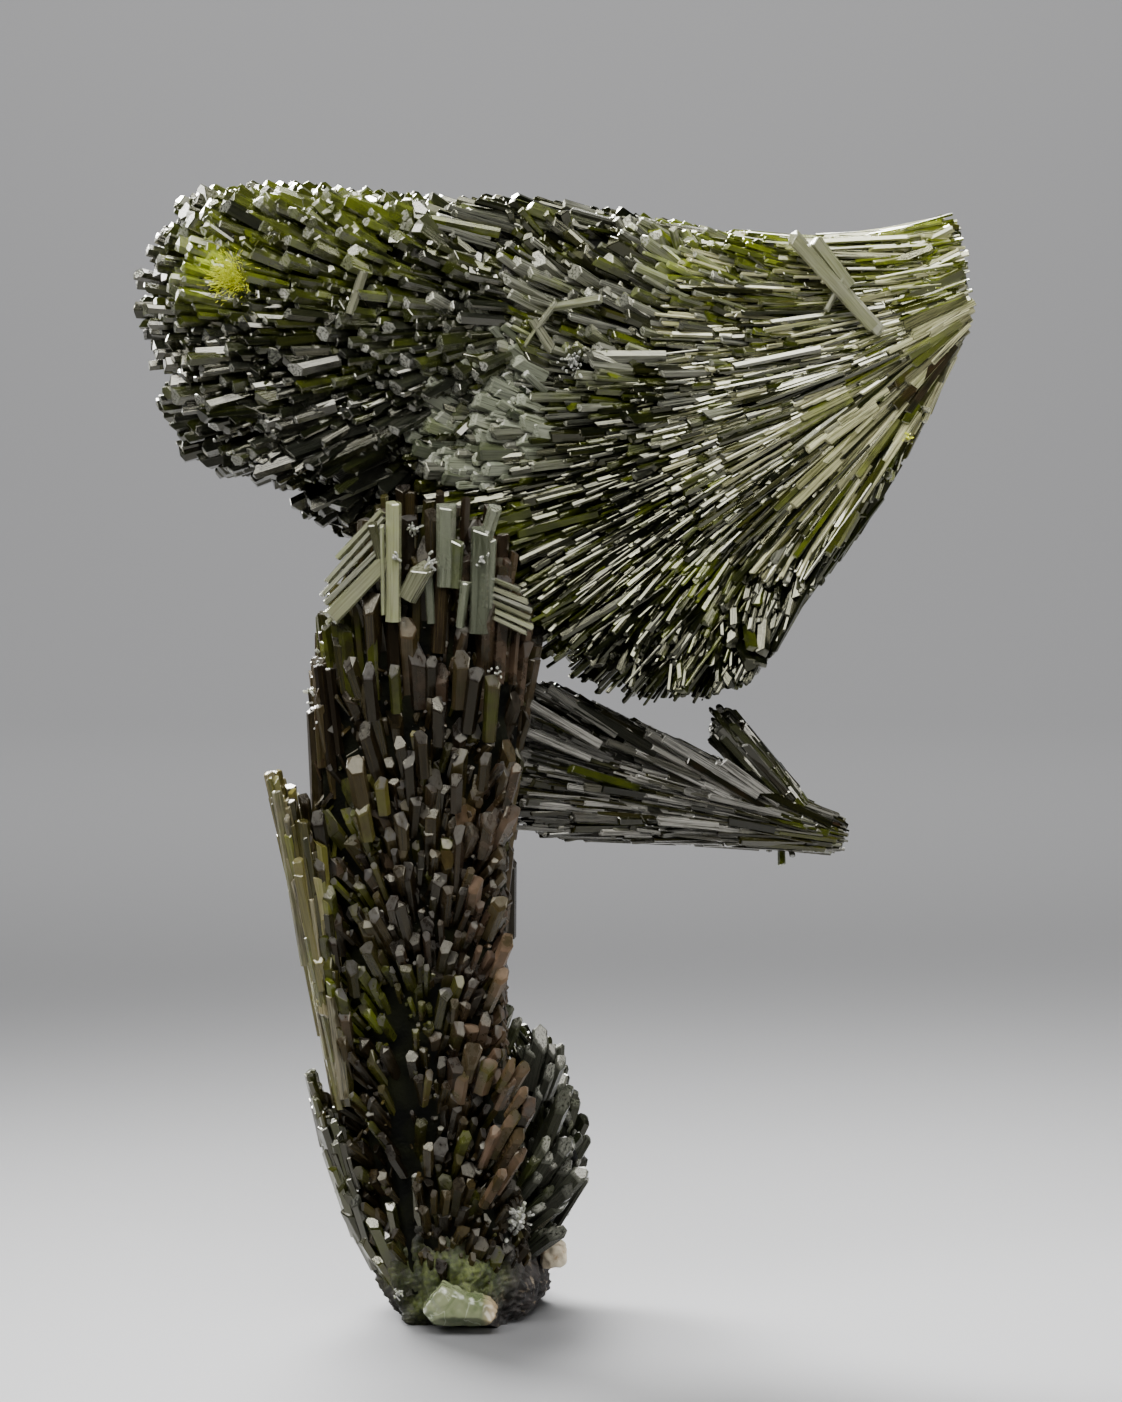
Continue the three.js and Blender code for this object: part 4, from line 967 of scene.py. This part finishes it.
for name, prisms, kind, replaced, seed in (
        ("crossed_pale", crossed, "pale", ["crossed_prisms"], 700), ("twin_pale", twin, "pale", ["twin_prisms"], 710),
        ("stray_pale", stray, "pale", ["stray_prism"], 720),
        ("crown_left_laths", crownLeft, "pale", ["crown_left"], 730),
        ("crown_middle_prisms", crownMiddle, "glassy", ["crown_middle"], 740),
        ("crown_right_prisms", crownRight, "glassy", ["crown_right"], 750),
        ("crown_right_steps", crownSteps, "pale", [], 755)):
    finish, slot = "epidote" + kind.capitalize(), "epidote_" + kind
    crystalGroup(name, listedCrystals(prisms, seed), paleLook, finish, seed, seed, 0.08, replaced)

cameraLook = {"aim": (8.1, 0, 62.1), "distance": 584, "elevation": 6.5, "lens": 150, "sensor": 36}
viewSlope = 0.114        # how far the view falls for each mm further back, near the tangent of the elevation

# Leaning prisms: the tip's x and height as seen at y 0, the width, the lean to the right in degrees, and the length.
pillars = {
    "depth": -11.6, "forward": 0.32,
    "rows": [
        (-10.9, 72.6, 2, -2, 9), (-7.3, 70.2, 2.1, -1, 8), (0.6, 71.8, 1.9, 2, 9), (-1.8, 67, 1.7, 3, 6),
        (-4.8, 66.4, 1.3, 1, 6), (-0.3, 65.4, 1.6, 8, 7), (-4.2, 62.4, 1.4, 0, 5), (-8.6, 65.6, 1.2, -3, 5),
        (-11.2, 65.8, 1.3, -5, 6), (1.3, 64.6, 1.6, 4, 7), (-6, 59.2, 1.4, -3, 5), (-12.6, 56.4, 2, -10, 6),
        (-10, 54.6, 1.4, -6, 4), (-11.9, 52, 1.6, -10, 4), (-8, 51, 1.5, -4, 4), (3.8, 55.8, 1.2, 15, 5),
        (0.6, 57, 1.2, 6, 4), (-2.4, 54.8, 1.3, 2, 4),
    ],
}
rusty = {
    "depth": -10.8, "forward": 0.45,
    "rows": [
        (-1.4, 51.8, 2.1, 6, 5), (1, 51, 1.8, 10, 5), (3.4, 51.6, 1.5, 24, 10), (-0.4, 44.6, 1.5, 8, 4),
        (2.2, 42.6, 1.7, 20, 5), (3, 38.8, 1.4, 22, 5), (2.4, 35.4, 1.5, 22, 5), (-0.6, 27.8, 1.9, 12, 4),
        (1, 26.4, 1.7, 16, 4), (-1.6, 25.6, 1.5, 8, 4), (4.6, 26, 1.3, 28, 4), (3.4, 26.4, 1, 25, 4),
        (3.2, 24.6, 1.2, 24, 4), (4.6, 23.6, 1.1, 30, 4), (5.2, 22.4, 1.6, 24, 7), (3.6, 21.2, 1.4, 26, 6),
        (4.2, 19.4, 1.3, 28, 6), (4.4, 17.4, 1.2, 30, 6), (1.6, 19.6, 1.2, 20, 5), (2.4, 15.4, 1.2, 28, 5),
    ],
}
knobs = {
    "depth": -2.5, "forward": 0.35,
    "rows": [
        (2.9, 31.4, 1.2, 15, 5), (3.9, 30.2, 1.1, 20, 5), (6.3, 29.2, 2, 12, 7), (5.3, 27.4, 1.5, 18, 6),
        (7.3, 27.4, 1.3, 15, 5), (8.2, 26.2, 1.4, 20, 5), (7.2, 25.4, 1.3, 18, 4), (8.6, 22.6, 1.7, 20, 8),
        (6.3, 23.2, 1.4, 20, 4), (7.6, 20.4, 1.5, 25, 5), (6.9, 18, 1.2, 28, 4), (8.8, 17.8, 1.7, 28, 6),
        (5.8, 16.2, 1.1, 30, 4), (7.1, 16.4, 1.2, 30, 4), (7.5, 15.4, 0.9, 35, 3), (9, 15.6, 1.5, 30, 5),
        (10.5, 14.8, 1.9, 38, 9), (6.2, 14.6, 1.1, 35, 4), (9.4, 13.2, 1.5, 45, 7), (8.6, 11.6, 1.5, 50, 7),
        (7.4, 12.8, 1.2, 45, 6), (8.3, 8.8, 1.7, 50, 5), (6.8, 8.6, 1.2, 45, 4), (6.4, 11.2, 1.1, 50, 5),
    ],
}
bladeTips = {
    "depth": -9.4, "forward": 0.45,
    "rows": [
        (-18.9, 52.3, 1.2, -9, 7), (-17.7, 52.8, 1.2, -8, 7), (-16.4, 51, 1.6, -8, 7), (-18.5, 49.6, 0.9, -9, 6),
        (-17.5, 49, 1.6, -9, 7), (-16.4, 46.4, 1.3, -8, 6), (-15.4, 43.6, 1.6, -8, 5), (-16.4, 40.4, 1.4, -9, 6),
        (-14.6, 41.1, 1.2, -7, 5), (-15.5, 36.5, 1.2, -9, 5), (-14.1, 33.4, 1.3, -8, 5), (-13.8, 31.4, 1.3, -8, 5),
        (-14.9, 38.6, 0.9, -8, 4), (-16.9, 43.8, 1, -9, 5), (-14, 28.6, 1.1, -10, 5), (-13, 36.2, 1.3, -6, 4),
    ],
}
flank = {
    "depth": -7, "forward": 0.1,
    "rows": [
        (-14.6, 17, 1.4, -14, 6), (-14.4, 14.2, 1.5, -18, 7), (-13.6, 11.2, 1.5, -26, 7), (-12.2, 8.6, 1.3, -30, 7),
        (-12.8, 12.6, 1.3, -16, 8), (-11.2, 10.4, 1.4, -22, 7), (-10.8, 6.4, 1.1, -32, 5), (-9.8, 8.8, 1.2, -20, 7),
        (-8.6, 6, 1, -24, 4), (-7.6, 8, 1.1, -12, 5), (-9.2, 11.8, 1.2, -10, 6), (-6.6, 15.6, 1.5, -2, 9),
    ],
}
rustyLook = {"tone": (0.5, 0.2, 0), "paintedGlow": (0, 0.03, 0), "rust": (0.65, 0.35, 0), "frost": (0.3, 0.2, 0)}
leaningEnds = {"steep": (0.9, 1.6), "gentle": (0.3, 0.8), "ridge": (-0.4, -0.1), "facing": 0.35}


def leaningCrystals(group, seed):
    # the axis is (sin lean, -forward, cos lean) made unit, and a tip is moved so that the camera sees it at its row's
    # place: higher by the view's slope for each mm that it is forward of y 0, and nearer to the view's middle
    random = np.random.default_rng(seed)
    x, z, width, lean, length = np.array(group["rows"], float).T
    lean = np.radians(lean)
    count, middle = len(x), cameraLook["aim"][0]
    axis = unit(np.stack([np.sin(lean), np.full(count, -group["forward"]), np.cos(lean)], -1))
    depth = group["depth"] + random.uniform(-0.8, 0.8, count)
    seenAt = middle + (x - middle) * (1 + depth / cameraLook["distance"])
    tip = np.stack([seenAt, depth, z - viewSlope * depth], -1)
    thick = width * random.uniform(0.8, 1, count)
    out, spin = np.tile([0, -1, 0.2], (count, 1)), random.normal(0, 0.2, count)
    return crystalSet(random, leaningEnds, tip, axis, out, length, width, thick, spin)


for name, group, look, finish, slot, seed, bevel in (
        ("upright_pillars", pillars, uprightLook, "epidoteBrown", "epidote_brown", 330, 0.1),
        ("upright_rusty", rusty, rustyLook, "epidoteBrown", "epidote_brown", 340, 0.2),
        ("lobe_knobs", knobs, lobeLook, "epidoteMatt", "epidote_dark", 350, 0.22),
        ("foot_flank", flank, shingleLook, "epidoteDark", "epidote_dark", 360, 0.1),
        ("blade_tips", bladeTips, uprightLook, "epidoteBrown", "epidote_brown", 370, 0.12)):
    crystals = insideOnly(leaningCrystals(group, seed), floor=0.4)
    crystalGroup(name, crystals, look, finish, seed + 1, seed + 2, bevel)
for name, prisms, look, seed in (("arm_spike", spike, darkLook, 760), ("arm_laths", armLaths, armLook, 765)):
    crystalGroup(name, listedCrystals(prisms, seed), look, "epidoteArm", seed + 1, seed + 2)

# Tufts of needles: spot, size of the patch, count, needle length and width, and the way they point.
tufts = {
    # The white rows on the crown and in the fan are pale specks where the light glints: painted glints.
    "white": [
        ((3.6, -6.2, 10.8), 1.4, 60, 0.8, 0.45, (0.3, -0.8, 0.6)),
        ((-8.2, -9.2, 3.8), 0.5, 16, 0.9, 0.2, (0, -1, 0.3)),
        ((-6.4, -10.2, 80.2), 0.8, 16, 0.9, 0.25, (0.3, -1, 0.3)),
        ((-7.9, -12, 77.6), 0.6, 8, 0.8, 0.25, (0, -1, 0.3)),
        ((-4.9, -12, 77.2), 0.8, 10, 0.8, 0.25, (0.4, -1, 0.5)),
        ((0.4, -11.8, 77.5), 0.7, 8, 0.8, 0.25, (0, -1, 0.3)), ((1.6, -11.6, 66.2), 0.8, 8, 0.5, 0.25, (0, -1, 0.3)),
        ((-15.6, -6.5, 66.6), 1.1, 24, 0.7, 0.3, (-1, -0.6, 0.3)),
        ((-15.9, -6.5, 63.6), 1.1, 20, 0.7, 0.3, (-1, -0.6, 0.3)),
        ((-15.6, -6.5, 60.4), 1, 16, 0.7, 0.3, (-1, -0.6, 0.3)),
        ((9.2, -4.6, 96.4), 1.2, 60, 0.6, 0.25, (0, -1, 0.3)),
    ],
    "gold": [
        ((-24.4, -7.5, 104.9), 1.9, 900, 0.8, 0.07, (-0.5, -0.8, 0.2)),
        ((42.3, -1.6, 88.6), 0.4, 10, 1, 0.2, (0, -1, 0)),
    ],
}
tuftShape = {
    "gather": 2.2, "open": 0.5, "chance": 0.35, "steep": (0.3, 0.9), "gentle": (0.3, 0.9), "ridge": (-0.3, 0.3),
    "facing": 0.5,
}


def tuftCrystals(rows, seed):
    # needles from a round patch: each leans from the given way by its offset from the middle and by chance
    parts = []
    for number, (spot, size, count, length, width, way) in enumerate(rows):
        random = np.random.default_rng(seed + number)
        offset = random.normal(size=(count, 3)) * size / tuftShape["gather"]
        axis = unit(np.array(way, float)) + tuftShape["open"] * offset / size
        axis = unit(axis + tuftShape["chance"] * random.normal(size=(count, 3)))
        long = length * random.uniform(0.6, 1.1, count)
        out = unit(random.normal(size=(count, 3)))
        wide, thick = width * random.uniform(0.6, 1.3, count), width * random.uniform(0.5, 1, count)
        tip = np.array(spot) + offset + axis * long[:, None] * 0.5
        parts.append(crystalSet(random, tuftShape, tip, axis, out, long, wide, thick, np.zeros(count)))
    return joinSets(parts)


for name, kind, finish, slot, seed in (
        ("white_needles", "white", "whiteNeedles", "cream_mineral", 800),
        ("gold_needles", "gold", "goldFibres", "epidote_pale", 820)):
    crystalGroup(name, tuftCrystals(tufts[kind], seed), paleLook, finish, seed, seed, 0.02)

# The broken foot: rings of corners as (x, y), at rising levels. flutes, steps and grain are the depth and size of
# waves in its skin, and drawn makes the flutes long upwards. push is how far the waves may move the skin. moss and
# crumb are patches of x, z, size and gain, in front of the depth front.
foot = {
    "levels": [0, 2.2, 7, 15],
    "rings": [
        [(-6.7, -6.5), (1.6, -7.3), (4.2, -2), (5.4, 6), (2, 11), (-5.4, 10), (-7.2, 2)],
        [(-8.8, -6.5), (-1, -9.8), (4.8, -5.5), (6.8, 4), (4, 11.6), (-6.4, 11.6), (-9.2, 2)],
        [(-10.6, -6), (-3, -9.2), (3.4, -6.5), (5.6, 4), (4, 10.5), (-7.4, 11), (-11, 3)],
        [(-9.6, -3), (-5, -5.4), (-0.6, -4), (1.2, 3), (0, 6), (-6, 6.6), (-9.6, 2)],
    ],
    "grid": (110, 260), "middle": (-2.4, 0.5), "flutes": (0.35, 1.6), "steps": (0.35, 4), "grain": (0.12, 0.8),
    "moss": [(-3.2, 5.6, 3.4, 1.1), (-5.6, 2, 1.8, 1), (0.5, 5.4, 2.2, 0.9), (-8.4, 6.5, 2.5, 0.5)],
    "crumb": [(7.5, 2.5, 3.5, 1), (3.2, 1.2, 2, 0.8)], "drawn": 0.12, "push": (-1.2, 0.7), "front": 4,
}


def footRock():
    # corners joined by straight lines round each ring and by a smooth curve upwards, then pushed outwards by upright
    # flutes, by noise rounded to steps, and by grain
    rows, columns = foot["grid"]
    rings = np.array(foot["rings"], float)
    place = np.arange(columns) * rings.shape[1] / columns
    i = place.astype(int)
    w = (place - i)[None, :, None]
    around = rings[:, i] * (1 - w) + rings[:, (i + 1) % rings.shape[1]] * w
    across = np.linspace(0, 1, rows)
    flat = splineAt(around.reshape(len(rings), -1), across).reshape(rows, columns, 2)
    z = splineAt(np.array(foot["levels"])[:, None], across)
    points = np.concatenate([flat, np.broadcast_to(z[:, :, None], (rows, columns, 1))], -1)
    out = unit(flat - np.array(foot["middle"]))
    flutes, steps, grain = foot["flutes"], foot["steps"], foot["grain"]
    shift = flutes[0] * rumple(points * (1, 1, foot["drawn"]), flutes[1], 31)
    shift += steps[0] * np.round(2 * rumple(points, steps[1], 32)) / 2 + grain[0] * rumple(points, grain[1], 33, 30)
    points[..., :2] += out * np.clip(shift, *foot["push"])[..., None]
    every = withPoles(points)
    values = {}
    for key in ("moss", "crumb"):
        value = sum(gain * near(every, (x, z), size) for x, z, size, gain in foot[key])
        values[key] = np.clip(value * (every[:, 1] < foot["front"]), 0, 1)
    finishPiece(gridPiece("foot_rock", points, values), "footRock")


# Lumps: planes as (x, y, z, distance from the centre). Larger sharp gives crisper edges. rim is the x where a
# cream edge starts, and how wide it is.
chunk = {
    "centre": (-1.9, -10.4, 2.5), "sharp": 50, "grid": (80, 150), "rough": 0.025, "rim": (0.2, 1.2),
    "planes": [
        (0.05, -1, 0.25, 1.55), (-0.6, -0.8, 0.1, 2.5), (0.55, -0.8, 0.2, 2.3), (0.36, -0.1, 0.93, 1.75),
        (0.25, -0.72, 0.72, 1.75), (-0.8, 0, 0.6, 3), (-1, 0, -0.1, 3.7), (1, -0.1, 0.1, 4), (0.8, 0, 0.6, 2.9),
        (0.8, 0, -0.6, 3.1), (0, 0, -1, 1.6), (0, -0.7, -0.7, 1.6), (0, 1, 0, 1.8), (-0.7, -0.1, -0.7, 2.9),
    ],
}
nodule = {
    "centre": (7.5, 0.9, 5.7), "sharp": 5, "grid": (40, 70), "rough": 0.08,
    "planes": [
        (1, 0, 0, 1.15), (-1, 0, 0, 1.4), (0, 1, 0.1, 1.4), (0, -1, 0.1, 1.4), (0.1, 0, 1, 1.2), (0.1, 0, -1, 1.25),
    ],
}


def lump(name, look, finish, node, seed):
    # the radius in each direction d is where it meets the planes, softened: (sum (n.d / h)^p)^(-1/p), and roughened
    rows, columns = look["grid"]
    polar = math.pi * (np.arange(rows)[:, None] + 0.5) / rows
    turn = 2 * math.pi * np.arange(columns)[None, :] / columns
    way = np.stack(np.broadcast_arrays(np.sin(polar) * np.cos(turn), np.sin(polar) * np.sin(turn), np.cos(polar)), -1)
    planes = np.array(look["planes"])
    reach = np.maximum(way @ unit(planes[:, :3]).T, 0) / planes[:, 3]
    radius = (reach ** look["sharp"]).sum(-1) ** (-1 / look["sharp"])
    points = way * radius[..., None]
    radius = radius * (1 + look["rough"] * rumple(points, 1.1, seed))
    points = np.array(look["centre"]) + way * radius[..., None]
    points[..., 2] = np.maximum(points[..., 2], 0.02)
    values = None
    if "rim" in look:
        start, wide = look["rim"]
        values = {"crumb": np.clip((withPoles(points)[:, 0] - start) / wide, 0, 1)}
    finishPiece(gridPiece(name, points, values), finish, [node])


footRock()
lump("green_chunk", chunk, "greenChunk", "foot_chunk", 41)
lump("cream_lump", nodule, "creamCrust", "cream_nodule", 42)

# The floor, lights and camera
stageLook = {
    "floor": (0.155, 0.155, 0.158), "roughness": 0.6, "world": 0.03, "front": -900, "wall": 750, "bend": 250,
    "top": 1500, "side": 1600,
}
lights = {               # the spot, size, power in watts, aim, and the angle of the cone of light
    "back_light": ((-60, 270, 370), (400, 190), 1.1, (8, 0, 62), 46),
    "over_light": ((0, -180, 420), (280, 200), 0.35, (8, 0, 62), 66),
    "left_light": ((-330, 190, 150), (200, 180), 0.15, (8, 0, 62), 46),
    "right_light": ((390, -130, 150), (160, 220), 0.15, (8, 0, 62), 70),
    "sweep_light": ((-230, 290, 330), (180, 160), 0.9, (35, 0, 88), 38),
    "front_light": ((60, -380, 420), (110, 80), 0.05, (8, 0, 62), 50),
    "line_light": ((-240, -190, 330), (180, 150), 0.15, (10, 0, 80), 60),
    "wall_light": ((0, 300, 420), (700, 200), 5.4, (0, 600, 60), 150),
}


def makeStage():
    # a pale floor that curves up into a wall far behind
    turn, bend, wall = np.linspace(0, math.pi / 2, 24), stageLook["bend"], stageLook["wall"]
    y = np.concatenate([[stageLook["front"]], wall - bend + bend * np.sin(turn), [wall]])
    z = np.concatenate([[0], bend - bend * np.cos(turn), [stageLook["top"]]])
    x = np.linspace(-stageLook["side"], stageLook["side"], 3)
    points = np.stack(np.broadcast_arrays(x[None, :], y[:, None], z[:, None]), -1)
    quads = gridQuads(len(y), len(x), closed=False)
    floor = meshOf("studio_floor", points.reshape(-1, 3), quads, np.empty((0, 3), int), smooth=True)
    tree, shader = newMaterial("paleFloor")
    feed(tree, shader.inputs["Base Color"], rgb(*stageLook["floor"]))
    feed(tree, shader.inputs["Roughness"], stageLook["roughness"])
    floor.data.materials.append(materials["paleFloor"])


def placed(name, data, spot, aim):             # a lamp or camera at a spot in metres, turned to its aim
    holder = bpy.data.objects.new(name, data)
    holder.location = spot
    holder.rotation_euler = (aim - spot).to_track_quat("-Z", "Y").to_euler()
    bpy.context.scene.collection.objects.link(holder)
    return holder


def softbox(name, spot, size, power, aim, spread):
    # a rectangular light that faces its aim, and throws its light within a cone
    light = bpy.data.lights.new(name, "AREA")
    light.shape, light.size, light.size_y, light.energy = "RECTANGLE", size[0] * mm, size[1] * mm, power
    light.spread = math.radians(spread)
    placed(name, light, Vector(spot) * mm, Vector(aim) * mm)


def makeCamera():
    e = math.radians(cameraLook["elevation"])
    camera = bpy.data.cameras.new("camera")
    camera.lens, camera.sensor_width, camera.clip_start = cameraLook["lens"], cameraLook["sensor"], 0.01
    aim = Vector(cameraLook["aim"]) * mm
    away = Vector((0, -math.cos(e), math.sin(e))) * cameraLook["distance"] * mm
    bpy.context.scene.camera = placed("camera", camera, aim + away, aim)


def makeWorld():
    world = bpy.data.worlds.new("studio")
    world.use_nodes = True
    background = world.node_tree.nodes["Background"]
    background.inputs["Color"].default_value = rgb(1, 1, 1)
    background.inputs["Strength"].default_value = stageLook["world"]
    bpy.context.scene.world = world


makeStage()
for name, row in lights.items():
    softbox(name, *row)
makeWorld()
makeCamera()
print("made the floor, world, camera and", len(lights), "lights")
